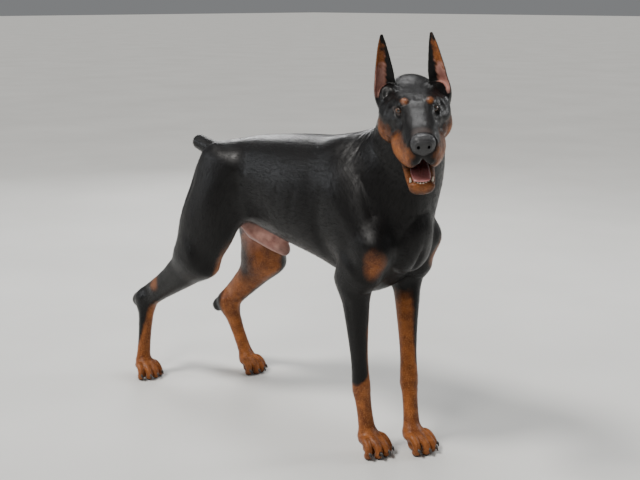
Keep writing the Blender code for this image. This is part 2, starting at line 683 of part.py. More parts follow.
def settle(target, depth, rounds):
    """Moves the vertices along their normals onto the surface where depth is 0."""
    for _ in range(rounds):
        points = vectors(target, "co")
        step = np.clip(depth(points), -0.008, 0.008)[:, None]
        points -= vectors(target, "normal") * step * 0.8
        target.data.vertices.foreach_set("co", points.astype(np.float32).ravel())
        target.data.update()


def rough_mesh(name, groups, kind):
    """One mesh of the plain shapes of the forms of this kind. A group is forms and their matrix."""
    mesh = bmesh.new()
    for forms, matrix in groups:
        part = bmesh.new()
        for form_kind, form in forms:
            if form_kind == kind:
                form.add_mesh(part)
        part.transform(matrix)
        data = bpy.data.meshes.new("part")
        part.to_mesh(data)
        part.free()
        mesh.from_mesh(data)
        bpy.data.meshes.remove(data)
    return new_object(name, mesh)


def smooth_solid(name, groups, depth, voxel):
    """The forms joined and cut, remeshed evenly and settled on their smooth surface."""
    solid = rough_mesh(name, groups, "add")
    remesh(solid, voxel)
    cutter = rough_mesh("cutter", groups, "cut")
    if len(cutter.data.vertices):
        boolean(solid, cutter, "DIFFERENCE", "MANIFOLD")
        remesh(solid, voxel)
    discard(cutter)
    keep_one(solid)
    settle(solid, depth, 6)
    remesh(solid, voxel)
    keep_one(solid)
    settle(solid, depth, 2)
    return solid


def thin_out(target, triangles):
    """Fewer, larger triangles where the surface is flat."""
    target.modifiers.new("triangles", "TRIANGULATE")
    apply_modifiers(target)
    change = target.modifiers.new("decimate", "DECIMATE")
    change.ratio = min(1.0, triangles / len(target.data.polygons))
    change.use_collapse_triangulate = True
    apply_modifiers(target)


def islands(mesh):
    """The connected pieces of a bmesh, as lists of vertices."""
    left = set(mesh.verts)
    found = []
    while left:
        piece, front = [], [left.pop()]
        while front:
            vertex = front.pop()
            piece.append(vertex)
            for edge in vertex.link_edges:
                other = edge.other_vert(vertex)
                if other in left:
                    left.remove(other)
                    front.append(other)
        found.append(piece)
    return found


def box_diagonal(piece):
    points = np.array([vertex.co for vertex in piece])
    return float(np.linalg.norm(points.max(0) - points.min(0)))


def keep_one(target, near=None):
    """Leaves the largest connected piece, or the large one whose middle is nearest to a point."""
    mesh = bmesh.new()
    mesh.from_mesh(target.data)
    pieces = islands(mesh)
    largest = max(box_diagonal(piece) for piece in pieces)
    if near is None:
        kept = max(pieces, key=box_diagonal)
    else:
        large = [piece for piece in pieces if box_diagonal(piece) > 0.4 * largest]
        kept = min(large, key=lambda piece: (
            sum((v.co for v in piece), Vector()) / len(piece) - Vector(near)).length)
    kept = set(kept)
    bmesh.ops.delete(mesh, geom=[vertex for vertex in mesh.verts if vertex not in kept], context="VERTS")
    mesh.to_mesh(target.data)
    mesh.free()


def cutter(planes, grow=0.0, matrix=None):
    """A large cube cut down to the space behind all the planes. A plane is a point and the way out."""
    mesh = bmesh.new()
    bmesh.ops.create_cube(mesh, size=3.0)
    for point, way in planes:
        way = Vector(way).normalized()
        cut = bmesh.ops.bisect_plane(mesh, geom=mesh.verts[:] + mesh.edges[:] + mesh.faces[:],
                                     plane_co=Vector(point) + way * grow, plane_no=way, clear_outer=True)
        edges = [item for item in cut["geom_cut"] if isinstance(item, bmesh.types.BMEdge)]
        bmesh.ops.edgeloop_fill(mesh, edges=edges)
    if matrix is not None:
        mesh.transform(matrix)
    made = new_object("cutter", mesh)
    made.hide_render = True
    made.display_type = "WIRE"
    return made


def duplicate(source, name):
    made = source.copy()
    made.data = source.data.copy()
    made.name = name
    bpy.context.scene.collection.objects.link(made)
    return made


def part_off(body, planes, nodes, matrix=None, solver="EXACT"):
    """Parts what is behind the planes from the body, with a gap, as nodes named with a place near each."""
    inner, outer = cutter(planes, 0.0, matrix), cutter(planes, GAP, matrix)
    made = []
    for name, near in nodes.items():
        node = duplicate(body, name)
        boolean(node, inner, "INTERSECT", solver)
        keep_one(node, near)
        made.append(node)
    boolean(body, outer, "DIFFERENCE", solver)
    keep_one(body)
    discard(inner, outer)
    return made


def keep_behind(target, planes, matrix=None, solver="EXACT"):
    inner = cutter(planes, 0.0, matrix)
    boolean(target, inner, "INTERSECT", solver)
    keep_one(target)
    discard(inner)


def cut_clear(target, other, by=GAP):
    """Cuts from the target the space of another object, grown a little."""
    grown = duplicate(other, "grown")
    points = vectors(grown, "co") + vectors(grown, "normal") * by * 1.4
    grown.data.vertices.foreach_set("co", points.astype(np.float32).ravel())
    grown.data.update()
    boolean(target, grown, "DIFFERENCE", "MANIFOLD")
    keep_one(target)
    discard(grown)


def fuse(target, pieces):
    """One solid from the target and the small pieces rooted in it."""
    for piece in pieces:
        boolean(target, piece, "UNION", "MANIFOLD")
    discard(*pieces)
    keep_one(target)


# The nodes


PAW_TOP = 0.056
SHANK_START = 0.16
HEAD_BACK = ((-0.130, 0, 0.045), (-0.875, 0, -0.483))


def paw_nodes():
    floor = ((0, 0, 0), (0, 0, -1))
    top = ((0, 0, PAW_TOP), (0, 0, 1))
    made = []
    for name, fetlock, heading, size in paws():
        ankle = Ball((fetlock[0], fetlock[1], PAW_TOP + 0.010), 0.021)
        groups = [(paw_forms(fetlock, heading, size) + [("add", ankle)], Matrix())]
        paw = smooth_solid(name, groups, dog_depth, FINE_VOXEL)
        thin_out(paw, PAW_TRIANGLES)
        fuse(paw, claw_meshes(fetlock, heading, size))
        keep_behind(paw, [floor, top])
        made.append(paw)
    return made


def head_nodes():
    place = head_matrix()
    neck_end = Ball((0.165, -0.075, 0.770), (0.072, 0.072, 0.075))
    groups = [(head_forms(), place), ([("add", neck_end)], Matrix())]
    head = smooth_solid("head", groups, dog_depth, FINE_VOXEL)
    thin_out(head, HEAD_TRIANGLES)
    keep_behind(head, [HEAD_BACK], place, "MANIFOLD")
    mouth_slope = (0.158, 0, 0.987)
    jaw_planes = [((-0.012, 0, -0.0790), mouth_slope), ((-0.014, 0, 0), (-1, 0, 0))]
    made = part_off(head, jaw_planes, {"lower_jaw": None}, place, "MANIFOLD")
    jaw = made[0]
    fine_head = smooth_solid("ears", [(skull_forms() + ear_forms(RIGHT) + ear_forms(LEFT), place)],
                             dog_depth, EAR_VOXEL)
    thin_out(fine_head, EAR_TRIANGLES)
    for word, s in SIDES.items():
        made.append(part_ear(head, fine_head, f"ear_{word}", s, place))
    discard(fine_head)
    tongue = smooth_solid("tongue", [(tongue_forms(), place)], in_head(tongue_forms()), FINE_VOXEL)
    nose = smooth_solid("nose_pad", [(nose_forms(), place)], in_head(nose_forms()), 0.0016)
    thin_out(tongue, 260)
    thin_out(nose, 460)
    cut_clear(jaw, tongue)
    cut_clear(head, tongue)
    cut_clear(head, nose)
    fuse(jaw, tooth_pieces(place))
    for word, s in SIDES.items():
        eye = eye_object(f"eye_{word}", s, place)
        opening = rough_mesh("opening", [([("add", lid_opening(s))], place)], "add")
        boolean(head, opening, "DIFFERENCE", "MANIFOLD")
        discard(opening)
        cut_clear(head, eye)
        made.append(eye)
    return made + [head, tongue, nose]


def part_ear(head, fine_head, name, s, place):
    """Parts one ear from the head, and takes the ear itself from a finer copy of the head's top."""
    planes = [((0, s * 0.022, 0.048), (0, -s * 0.483, -0.875)), ((0, s * 0.012, 0), (0, -s, 0))]
    ear_space = cutter(planes, GAP, place)
    boolean(head, ear_space, "DIFFERENCE", "MANIFOLD")
    keep_one(head)
    discard(ear_space)
    ear = duplicate(fine_head, name)
    keep_behind(ear, planes, place, "MANIFOLD")
    return ear


def tooth_pieces(place):
    teeth = tooth_meshes()
    for tooth in teeth:
        tooth.data.transform(place)
    return teeth


def in_head(forms):
    """The depth of forms that are given in the head's axes, for points in the body's frame."""
    to_head = np.array(head_matrix().inverted())

    def depth(points):
        return depth_of(points @ to_head[:3, :3].T + to_head[:3, 3], forms)

    return depth


def eye_object(name, s, place):
    mesh = bmesh.new()
    bmesh.ops.create_uvsphere(mesh, u_segments=16, v_segments=10, radius=EYE_RADIUS,
                              matrix=place @ Matrix.Translation(eye_centre(s)))
    return new_object(name, mesh)


def body_nodes():
    place = head_matrix()
    groups = [(body_forms(), Matrix()), (skull_forms(), place)]
    body = smooth_solid("torso", groups, dog_depth, COARSE_VOXEL)
    thin_out(body, BODY_TRIANGLES)
    head_space = cutter([HEAD_BACK], GAP, place)
    boolean(body, head_space, "DIFFERENCE")
    discard(head_space)
    above_paws = [((0, 0, PAW_TOP + GAP), (0, 0, -1))]
    keep_behind(body, above_paws)
    front_legs = {f"front_leg_{word}": FRONT_JOINTS[s]["carpus"] for word, s in SIDES.items()}
    made = part_off(body, [((0, 0, 0.328), (0, 0, 1)), ((-0.20, 0, 0), (-1, 0, 0))], front_legs)
    for word, s in SIDES.items():
        joints = HIND_JOINTS[s]
        shank = Vector(joints["hock"]) - Vector(joints["knee"])
        start = Vector(joints["knee"]) + shank * SHANK_START
        made += part_off(body, [(start, -shank), ((0, s * 0.012, 0), (0, -s, 0))], {f"hind_leg_{word}": None})
        thigh = [((0, s * 0.012, 0.400), (0, -s, 0.25)), ((-0.335, 0, 0.450), (0.97, 0, 0.23))]
        made += part_off(body, thigh, {f"thigh_{word}": None})
        shoulder = [((0, s * 0.047, 0.330), (0, -s, 0.15)), ((-0.090, 0, 0), (-1, 0, 0)),
                    ((-0.030, 0, 0.560), (-0.64, 0, 0.77)), ((0.050, 0, 0.590), (0.50, 0, 0.87))]
        made += part_off(body, shoulder, {f"shoulder_{word}": None})
    made += part_off(body, [((-0.545, 0, 0.622), (0.96, 0, -0.27)), ((-0.545, 0, 0.594), (-0.27, 0, -0.96)),
                            ((0, 0.04, 0), (0, 1, 0)), ((0, -0.04, 0), (0, -1, 0))], {"tail": None})
    made += part_off(body, [((0.060, 0, 0.620), (-0.718, 0, -0.696))], {"neck": None})
    return made + [body]


COLOURS = {
    "coat": ((0.012, 0.011, 0.011), 0.38), "rust": ((0.30, 0.095, 0.030), 0.50),
    "nose": ((0.010, 0.010, 0.011), 0.35),
    "tongue": ((0.62, 0.24, 0.24), 0.30), "eye": ((0.035, 0.018, 0.010), 0.08),
}


def paint(target):
    """A material of the node's own, from the word in its name."""
    kind = "coat"
    for word, found in (("paw", "rust"), ("jaw", "rust"), ("nose", "nose"),
                        ("tongue", "tongue"), ("eye", "eye")):
        if word in target.name:
            kind = found
    colour, roughness = COLOURS[kind]
    material = bpy.data.materials.new(target.name)
    material.use_nodes = True
    shader = material.node_tree.nodes["Principled BSDF"]
    shader.inputs["Base Color"].default_value = (*colour, 1)
    shader.inputs["Roughness"].default_value = roughness
    shader.inputs["Metallic"].default_value = 0.0
    target.data.materials.clear()
    target.data.materials.append(material)


def main():
    for thing in list(bpy.data.objects):
        bpy.data.objects.remove(thing)
    nodes = body_nodes() + paw_nodes() + head_nodes()
    dog = bpy.data.collections.new("doberman_pinscher")
    bpy.context.scene.collection.children.link(dog)
    for node in nodes:
        node.data.transform(Matrix.Translation(ORIGIN_SHIFT))
        bpy.context.scene.collection.objects.unlink(node)
        dog.objects.link(node)
        node.data.shade_smooth()
        node.data.set_sharp_from_angle(angle=math.radians(40))
        paint(node)


if __name__ == "__main__":
    main()
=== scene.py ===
"""The looks of a standing doberman pinscher: its skin, short coat, eyes, nose, mouth and claws.

The skin is made from rounded forms like those of the solids, at a finer grain and with more muscles,
folds and lids, and lies inside them by the depth of the coat, apart from fuller lips and a fuller chin.
The dog faces +X with its left side at +Y. It is shaped over the point of the ground under its withers
and moved at the end. The head has its own axes: x to the nose, y to the left, z up, from between the eyes.
"""

import itertools
import math

import bmesh
import bpy
import numpy as np
from mathutils import Matrix, Vector


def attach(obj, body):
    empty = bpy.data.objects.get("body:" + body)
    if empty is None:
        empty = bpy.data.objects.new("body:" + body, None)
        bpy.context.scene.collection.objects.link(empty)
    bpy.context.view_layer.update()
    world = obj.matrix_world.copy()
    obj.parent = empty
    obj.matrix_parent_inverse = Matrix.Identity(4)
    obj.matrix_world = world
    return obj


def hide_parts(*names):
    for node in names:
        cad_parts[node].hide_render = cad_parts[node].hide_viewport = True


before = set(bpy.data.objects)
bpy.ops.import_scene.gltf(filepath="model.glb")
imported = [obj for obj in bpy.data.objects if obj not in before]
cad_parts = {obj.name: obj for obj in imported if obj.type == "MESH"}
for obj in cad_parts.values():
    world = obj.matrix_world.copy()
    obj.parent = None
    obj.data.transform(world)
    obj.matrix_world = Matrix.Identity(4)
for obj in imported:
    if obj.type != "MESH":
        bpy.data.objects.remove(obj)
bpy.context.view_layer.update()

# Driving sizes, in metres
BODY_VOXEL = 0.0048
HEAD_VOXEL = 0.0018
PAW_VOXEL = 0.0020
SEAM = 0.0020
COAT_DEPTH = 0.0010
EYE_RADIUS = 0.0118
LID_THICKNESS = 0.0026
EYE_AHEAD = 0.0008
LID_DEPTH = 0.0016
HIDDEN = EYE_RADIUS - 0.0016
PUPIL = 0.0030
IRIS = 0.0078
CORNEA = 0.80
CORNEA_RISE = 0.07
LID_HALF = 0.0110
LID_RISE = 0.0056
LID_DROP = 0.0050
GAPE = math.radians(15.5)
RIGHT, LEFT = -1, 1
SIDES = {"right": RIGHT, "left": LEFT}
EYE_AIM = {RIGHT: 0.10, LEFT: -0.10}
ORIGIN_SHIFT = Vector((0.2169, 0.0501, 0.0))
PAW_TOP = 0.056
HEAD_BACK = ((-0.130, 0, 0.045), (-0.875, 0, -0.483))

# The number of tufts, a tuft's width as a share of its length, and a length over that of every line
TUFTS = 80000
TUFT_WIDTH = 0.016
LONGEST_LINE = 1.35

# Camera and floor
CAMERA_PLACE = (1.60, -1.78, 1.0)
CAMERA_AZIMUTH = 44.75
CAMERA_ELEVATION = 12.5
LENS = 61.03
FLOOR_SIZE = 60.0

# Joints of the legs: x, y, z over the ground
FRONT_JOINTS = {
    RIGHT: {"shoulder": (0.095, -0.086, 0.480), "elbow": (0.024, -0.082, 0.388),
            "carpus": (0.040, -0.074, 0.148), "fetlock": (0.058, -0.073, 0.048)},
    LEFT: {"shoulder": (0.086, 0.084, 0.480), "elbow": (0.034, 0.082, 0.388),
           "carpus": (0.085, 0.038, 0.150), "fetlock": (0.117, 0.012, 0.048)},
}
HIND_JOINTS = {
    RIGHT: {"hip": (-0.432, -0.070, 0.580), "knee": (-0.497, -0.098, 0.356),
            "hock": (-0.730, -0.096, 0.205), "heel": (-0.768, -0.096, 0.200),
            "fetlock": (-0.722, -0.120, 0.048)},
    LEFT: {"hip": (-0.432, 0.070, 0.580), "knee": (-0.462, 0.100, 0.334),
           "hock": (-0.604, 0.088, 0.184), "heel": (-0.648, 0.086, 0.172),
           "fetlock": (-0.552, 0.102, 0.048)},
}
PAW_HEADING = {"front": {RIGHT: -0.10, LEFT: 0.05}, "hind": {RIGHT: -0.12, LEFT: 0.10}}

# The head's place, and its turn: yaw, pitch and roll in degrees
HEAD_PLACE = (0.252, -0.154, 0.792)
HEAD_TURN = (-44.7, 9.3, 3.2)
EAR_TIPS = {RIGHT: (-0.078, -0.0580, 0.134), LEFT: (-0.078, 0.0360, 0.133)}


def unit(rows):
    rows = np.asarray(rows, float)
    return rows / np.linalg.norm(rows, axis=-1, keepdims=True)


def between(a, b, t):
    return np.asarray(a, float) * (1 - t) + np.asarray(b, float) * t


def smooth_rows(rows, per_span):
    """Rows of numbers along a Catmull-Rom curve through the given rows."""
    rows = np.asarray(rows, float)
    padded = np.vstack([2 * rows[0] - rows[1], rows, 2 * rows[-1] - rows[-2]])
    t = np.linspace(0, 1, per_span, endpoint=False)[:, None]
    found = []
    for a, b, c, d in zip(padded, padded[1:], padded[2:], padded[3:]):
        linear, square, cube = c - a, 2 * a - 5 * b + 4 * c - d, 3 * b - a - 3 * c + d
        found.append(0.5 * (2 * b + linear * t + square * t**2 + cube * t**3))
    return np.vstack(found + [rows[-1:]])


def nearest_on(line, points):
    """For each point: the nearest span of the line, the share of the way along it, and the squared gap."""
    nearest = np.full(len(points), np.inf)
    span = np.zeros(len(points), int)
    part = np.zeros(len(points))
    for i, (a, b) in enumerate(zip(line, line[1:])):
        t, off = beside(points, a, b, 0, 1)
        square = (off**2).sum(1)
        closer = square < nearest
        nearest[closer], span[closer], part[closer] = square[closer], i, t[closer]
    return span, part, nearest


def beside(points, a, b, low=-np.inf, high=np.inf):
    """For each point: its share of the way from a to b, kept from low to high, and its offset from there."""
    span = b - a
    t = np.clip((points - a) @ span / (span @ span), low, high)
    return t, points - a - t[:, None] * span


class Loft:
    """A rounded form along a line. A station is x, y, z and the radii to the side, front and back."""

    def __init__(self, stations, side=(0, 1, 0), side_end=None, power=2.0, cap=0.02, spans=5, blend=0.02):
        rows = smooth_rows(stations, spans)
        self.centre = rows[:, :3]
        self.radii = np.maximum(rows[:, 3:6], 0.0015)
        self.tangent = unit(np.gradient(self.centre, axis=0))
        mix = np.linspace(0, 1, len(rows))[:, None]
        across = between(side, side if side_end is None else side_end, mix)
        across -= (across * self.tangent).sum(1, keepdims=True) * self.tangent
        self.side = unit(across)
        self.front = np.cross(self.tangent, self.side)
        self.power, self.cap, self.blend = power, cap, blend

    def reach(self):
        most = self.radii.max() + self.cap
        return self.centre.min(0) - most, self.centre.max(0) + most

    def distance(self, points):
        span, part, _ = nearest_on(self.centre, points)

        def there(rows):
            return rows[span] * (1 - part[:, None]) + rows[span + 1] * part[:, None]

        off = points - there(self.centre)
        radii = there(self.radii)
        aside = (off * unit(there(self.side))).sum(1)
        ahead = (off * unit(there(self.front))).sum(1)
        along = (off * unit(there(self.tangent))).sum(1)
        depth = np.where(ahead > 0, radii[:, 1], radii[:, 2])
        ratio = np.abs(aside / radii[:, 0]) ** self.power + np.abs(ahead / depth) ** self.power
        ratio = np.sqrt(ratio ** (2 / self.power) + (along / self.cap) ** 2)
        outside = np.sqrt((off**2).sum(1)) * (1 - 1 / np.maximum(ratio, 0.05))
        return np.where(ratio > 0.05, outside, -radii.min(1))

    def add_mesh(self, mesh, around=16):
        """Adds the form to a bmesh as rings joined by faces, with flat ends."""
        turn = np.linspace(0, 2 * math.pi, around, endpoint=False)
        wide, deep = np.cos(turn), np.sin(turn)
        wide = np.sign(wide) * np.abs(wide) ** (2 / self.power)
        deep = np.sign(deep) * np.abs(deep) ** (2 / self.power)
        rings = []
        for centre, radii, side, front in zip(self.centre, self.radii, self.side, self.front):
            depth = np.where(deep > 0, radii[1], radii[2]) * deep
            ring = centre + np.outer(wide * radii[0], side) + np.outer(depth, front)
            rings.append([mesh.verts.new(point) for point in ring])
        join_rings(mesh, rings)


def join_rings(mesh, rings):
    """Faces between rings of points, and a flat face on each end."""
    count = len(rings[0])
    for low, high in zip(rings, rings[1:]):
        for i in range(count):
            j = (i + 1) % count
            mesh.faces.new((low[i], low[j], high[j], high[i]))
    mesh.faces.new(rings[0][::-1])
    mesh.faces.new(rings[-1])


class Ball:
    """An ellipsoid. The rows of axes are its own three directions."""

    def __init__(self, centre, radii, axes=None, blend=0.02):
        self.centre = np.asarray(centre, float)
        self.radii = np.asarray(radii, float) * np.ones(3)
        self.axes = np.eye(3) if axes is None else np.asarray(axes, float)
        self.blend = blend

    def reach(self):
        return self.centre - self.radii.max(), self.centre + self.radii.max()

    def ratio(self, points):
        return np.sqrt((((points - self.centre) @ self.axes.T / self.radii) ** 2).sum(1))

    def distance(self, points):
        ratio = self.ratio(points)
        length = np.sqrt(((points - self.centre) ** 2).sum(1))
        return np.where(ratio > 0.05, length * (1 - 1 / np.maximum(ratio, 0.05)), -self.radii.min())


class Shell:
    """An ear: a leaf that narrows to its tip and is bent back in its middle, so that it is a cup."""

    def __init__(self, root, tip, outward, rows, spans=6, blend=0.010):
        self.root = np.asarray(root, float)
        self.length = float(np.linalg.norm(np.asarray(tip, float) - self.root))
        self.up = unit(np.asarray(tip, float) - self.root)
        outward = np.asarray(outward, float)
        self.out = unit(outward - (outward @ self.up) * self.up)
        self.back = unit(np.cross(self.up, self.out))
        if self.back[0] > 0:
            self.back = -self.back
        self.rows = smooth_rows(rows, spans)
        self.blend = blend

    def reach(self):
        most = self.length * 1.1
        return self.root - most * 0.7, self.root + most

    def at(self, height):
        share = height / self.length
        return [np.interp(share, self.rows[:, 0], self.rows[:, i]) for i in (1, 2, 3, 4, 5)]

    def distance(self, points):
        off = points - self.root
        height, out, back = off @ self.up, off @ self.out, off @ self.back
        middle, half, cup, thick, lean = self.at(height)
        across = (out - middle) / half
        bend = cup * (1 - across**2) + lean
        slope = np.sqrt(1 + (2 * cup * across / half) ** 2)
        face = np.abs(back - bend) / slope - thick
        rim = (np.abs(across) - 1) * half
        top = height - self.length * self.rows[-1, 0]
        bottom = self.length * self.rows[0, 0] - height
        edge = np.maximum(np.maximum(rim, top), bottom)
        corner = thick * 0.8
        outer = np.hypot(np.maximum(face + corner, 0), np.maximum(edge + corner, 0))
        return outer + np.minimum(np.maximum(face, edge) + corner, 0) - corner


class Swell:
    """Moves the surface out, or in where amount is below 0, fading to nothing at the radii."""

    def __init__(self, centre, radii, amount, axes=None):
        self.ball = Ball(centre, radii, axes)
        self.amount = amount
        self.reach = self.ball.reach

    def change(self, points):
        return self.amount * np.clip(1 - self.ball.ratio(points) ** 2, 0, 1) ** 2


class Crease:
    """Moves the surface along a line through the points: a ridge, or a groove where below 0."""

    def __init__(self, line, width, amount):
        self.line = smooth_rows(line, 5)
        self.width, self.amount = width, amount

    def reach(self):
        return self.line.min(0) - 3 * self.width, self.line.max(0) + 3 * self.width

    def change(self, points):
        span, part, square = nearest_on(self.line, points)
        place = (span + part) / (len(self.line) - 1)
        ends = np.clip(np.minimum(place, 1 - place) * 5, 0, 1)
        return self.amount * ends * np.exp(-square / self.width**2)


def smooth_least(a, b, reach):
    """The lesser of a and b, rounded over where they are within reach of each other."""
    share = np.clip(0.5 + 0.5 * (b - a) / reach, 0, 1)
    return b * (1 - share) + a * share - reach * share * (1 - share)


def depth_of(points, forms):
    """How far the points are outside the forms taken together, about in metres."""
    depth = np.full(len(points), 1.0)
    for kind, form in forms:
        low, high = form.reach()
        margin = 0.0 if kind == "move" else form.blend + 0.03
        near = np.nonzero(((points > low - margin) & (points < high + margin)).all(1))[0]
        if not len(near):
            continue
        if kind == "move":
            depth[near] -= form.change(points[near])
        elif kind == "add":
            depth[near] = smooth_least(depth[near], form.distance(points[near]), form.blend)
        else:
            depth[near] = -smooth_least(-depth[near], form.distance(points[near]), form.blend)
    return depth


# The body


def torso_forms():
    """Stations from the croup to the breastbone: x, y, z, half width, rise and drop."""
    trunk = Loft([
        (-0.540, 0, 0.566, 0.050, 0.050, 0.058), (-0.500, 0, 0.567, 0.074, 0.080, 0.088),
        (-0.430, 0, 0.568, 0.088, 0.097, 0.098), (-0.360, 0, 0.565, 0.094, 0.115, 0.104),
        (-0.280, 0, 0.555, 0.107, 0.135, 0.112), (-0.200, 0, 0.545, 0.118, 0.151, 0.117),
        (-0.130, 0, 0.535, 0.119, 0.166, 0.121), (-0.070, 0, 0.530, 0.113, 0.177, 0.135),
        (-0.010, 0, 0.525, 0.102, 0.184, 0.158), (0.050, 0, 0.505, 0.088, 0.160, 0.164),
        (0.098, 0, 0.487, 0.070, 0.110, 0.124), (0.122, 0, 0.478, 0.050, 0.062, 0.070),
    ], power=2.2, cap=0.03)
    forms = [("add", trunk)]
    for s in (RIGHT, LEFT):
        forms.append(("move", Swell((0.100, s * 0.036, 0.455), (0.06, 0.04, 0.07), 0.010)))
        forms.append(("move", Swell((-0.30, s * 0.06, 0.655), (0.20, 0.05, 0.05), 0.004)))
        forms.append(("move", Swell((-0.300, s * 0.110, 0.500), (0.09, 0.06, 0.10), -0.006)))
    forms.append(("move", Swell((0.115, 0, 0.500), (0.05, 0.014, 0.10), -0.006)))
    return forms


def sheath_forms():
    """The soft parts under the belly of a male, and the fold of skin that they hang in, kept plain."""
    sheath = Loft([
        (-0.395, 0, 0.434, 0.022, 0.024, 0.024), (-0.330, 0, 0.414, 0.020, 0.020, 0.021),
        (-0.286, 0, 0.400, 0.014, 0.014, 0.015),
    ], cap=0.014, blend=0.025)
    fold = Loft([
        (-0.400, 0, 0.452, 0.030, 0.030, 0.020), (-0.345, 0, 0.440, 0.019, 0.030, 0.018),
        (-0.296, 0, 0.426, 0.011, 0.026, 0.014),
    ], cap=0.012, blend=0.030)
    return [("add", sheath), ("add", fold)]


def neck_forms():
    neck = Loft([
        (-0.010, 0.008, 0.555, 0.096, 0.110, 0.125), (0.050, 0.018, 0.620, 0.095, 0.108, 0.118),
        (0.096, 0.003, 0.682, 0.079, 0.092, 0.098), (0.130, -0.031, 0.734, 0.067, 0.078, 0.082),
        (0.157, -0.062, 0.777, 0.059, 0.068, 0.068), (0.182, -0.087, 0.802, 0.053, 0.058, 0.058),
    ], side_end=(0.5, 0.86, 0), cap=0.03, blend=0.045)
    throat = [(0.215, -0.100, 0.690), (0.176, -0.050, 0.610), (0.140, -0.020, 0.530)]
    return [("add", neck), ("move", Crease(throat, 0.022, 0.006))]


def tail_forms():
    """A docked tail."""
    return [("add", Loft([
        (-0.478, 0, 0.600, 0.030, 0.034, 0.034), (-0.530, 0, 0.618, 0.024, 0.026, 0.026),
        (-0.572, 0, 0.629, 0.0215, 0.0220, 0.0220), (-0.605, 0, 0.638, 0.0200, 0.0205, 0.0205),
    ], cap=0.018, blend=0.026))]


def stations(a, b, rows):
    """Rows of the share of the way from a to b, and the radii to the side, front and back."""
    return [(*between(a, b, t), *radii) for t, *radii in rows]


def joints_of(joints, s, names):
    return [np.array(joints[s][name]) for name in names.split()]


def front_leg_forms(s):
    shoulder, elbow, carpus, fetlock = joints_of(FRONT_JOINTS, s, "shoulder elbow carpus fetlock")
    blade = Loft([
        (-0.055, s * 0.045, 0.655, 0.020, 0.035, 0.040), (-0.020, s * 0.070, 0.590, 0.030, 0.050, 0.060),
        (0.030, s * 0.080, 0.520, 0.036, 0.055, 0.065),
        (shoulder[0] - 0.020, s * 0.082, 0.478, 0.038, 0.045, 0.055),
    ], cap=0.03, blend=0.05)
    upper = Loft(stations(shoulder, elbow, (
        (0, 0.036, 0.034, 0.040), (0.5, 0.038, 0.042, 0.048), (1, 0.034, 0.034, 0.044),
    )), cap=0.028, blend=0.03)
    lower = Loft([
        *stations(shoulder, elbow, [(0.62, 0.036, 0.042, 0.052)]),
        *stations(elbow, carpus, (
            (0, 0.031, 0.038, 0.041), (0.20, 0.0285, 0.0335, 0.0320), (0.48, 0.0235, 0.0245, 0.0250),
            (0.76, 0.0198, 0.0200, 0.0205))),
        *stations(carpus, fetlock, (
            (0, 0.0222, 0.0212, 0.0215), (0.28, 0.0200, 0.0180, 0.0180), (0.62, 0.0195, 0.0168, 0.0170),
            (1, 0.0225, 0.0185, 0.0180))),
    ], cap=0.018, spans=4, blend=0.028)
    elbow_point = Ball(elbow + (-0.036, s * 0.002, 0.006), (0.015, 0.015, 0.019), blend=0.018)
    stop_pad = Ball(between(carpus, fetlock, 0.10) + (-0.018, 0, 0), (0.008, 0.009, 0.010), blend=0.008)
    return [("add", form) for form in (blade, upper, lower, elbow_point, stop_pad)]


def hind_leg_forms(s):
    hip, knee, hock, heel, fetlock = joints_of(HIND_JOINTS, s, "hip knee hock heel fetlock")
    thigh = Loft([
        (*(hip + (0.005, 0, 0.03)), 0.042, 0.078, 0.070),
        *stations(hip, knee, (
            (0.30, 0.051, 0.090, 0.090), (0.65, 0.050, 0.080, 0.096), (0.98, 0.040, 0.052, 0.086))),
    ], cap=0.04, spans=4, blend=0.05)
    shank = Loft(stations(knee, hock, (
        (-0.06, 0.038, 0.046, 0.055), (0.20, 0.037, 0.044, 0.054), (0.50, 0.030, 0.035, 0.040),
        (0.80, 0.0235, 0.0265, 0.030), (1, 0.0225, 0.0270, 0.0270),
    )), cap=0.022, spans=4, blend=0.04)
    cannon = Loft([
        (*(hock + (-0.010, 0, 0.004)), 0.0220, 0.0270, 0.0265),
        *stations(hock, fetlock, (
            (0.22, 0.0200, 0.0220, 0.0250), (0.50, 0.0178, 0.0185, 0.0205), (0.78, 0.0178, 0.0175, 0.0190),
            (1, 0.0205, 0.0180, 0.0190))),
    ], cap=0.018, spans=4, blend=0.025)
    tendon = Loft([
        (*(between(knee, hock, 0.40) + (-0.040, 0, -0.014)), 0.014, 0.014, 0.014),
        (*(between(knee, hock, 0.76) + (-0.030, 0, 0.008)), 0.010, 0.010, 0.010),
        (*heel, 0.0115, 0.0115, 0.0115),
    ], cap=0.012, blend=0.020)
    heel_bone = Ball(heel, (0.0125, 0.0135, 0.017), blend=0.015)
    hollows = [between(knee, hock, 0.80) + (-0.020, y, 0.004) for y in (s * 0.022, -s * 0.022)]
    return ([("add", form) for form in (thigh, shank, cannon, tendon, heel_bone)]
            + [("move", Swell(place, (0.035, 0.016, 0.018), -0.0035)) for place in hollows])


TOES = ((-0.0250, 0.040, -0.12), (-0.0088, 0.053, -0.04), (0.0088, 0.053, 0.04), (0.0250, 0.040, 0.12))


def paw_frame(fetlock, heading, size):
    """A function from distances forward, to the left and up of the fetlock's foot to a place."""
    ahead = np.array([math.cos(heading), math.sin(heading), 0])
    left = np.array([-math.sin(heading), math.cos(heading), 0])
    foot = np.array([fetlock[0], fetlock[1], 0.0])

    def at(forward, aside, up):
        return foot + size * (forward * ahead + aside * left + up * np.array([0, 0, 1]))

    return at, np.array([ahead, left, [0, 0, 1]])


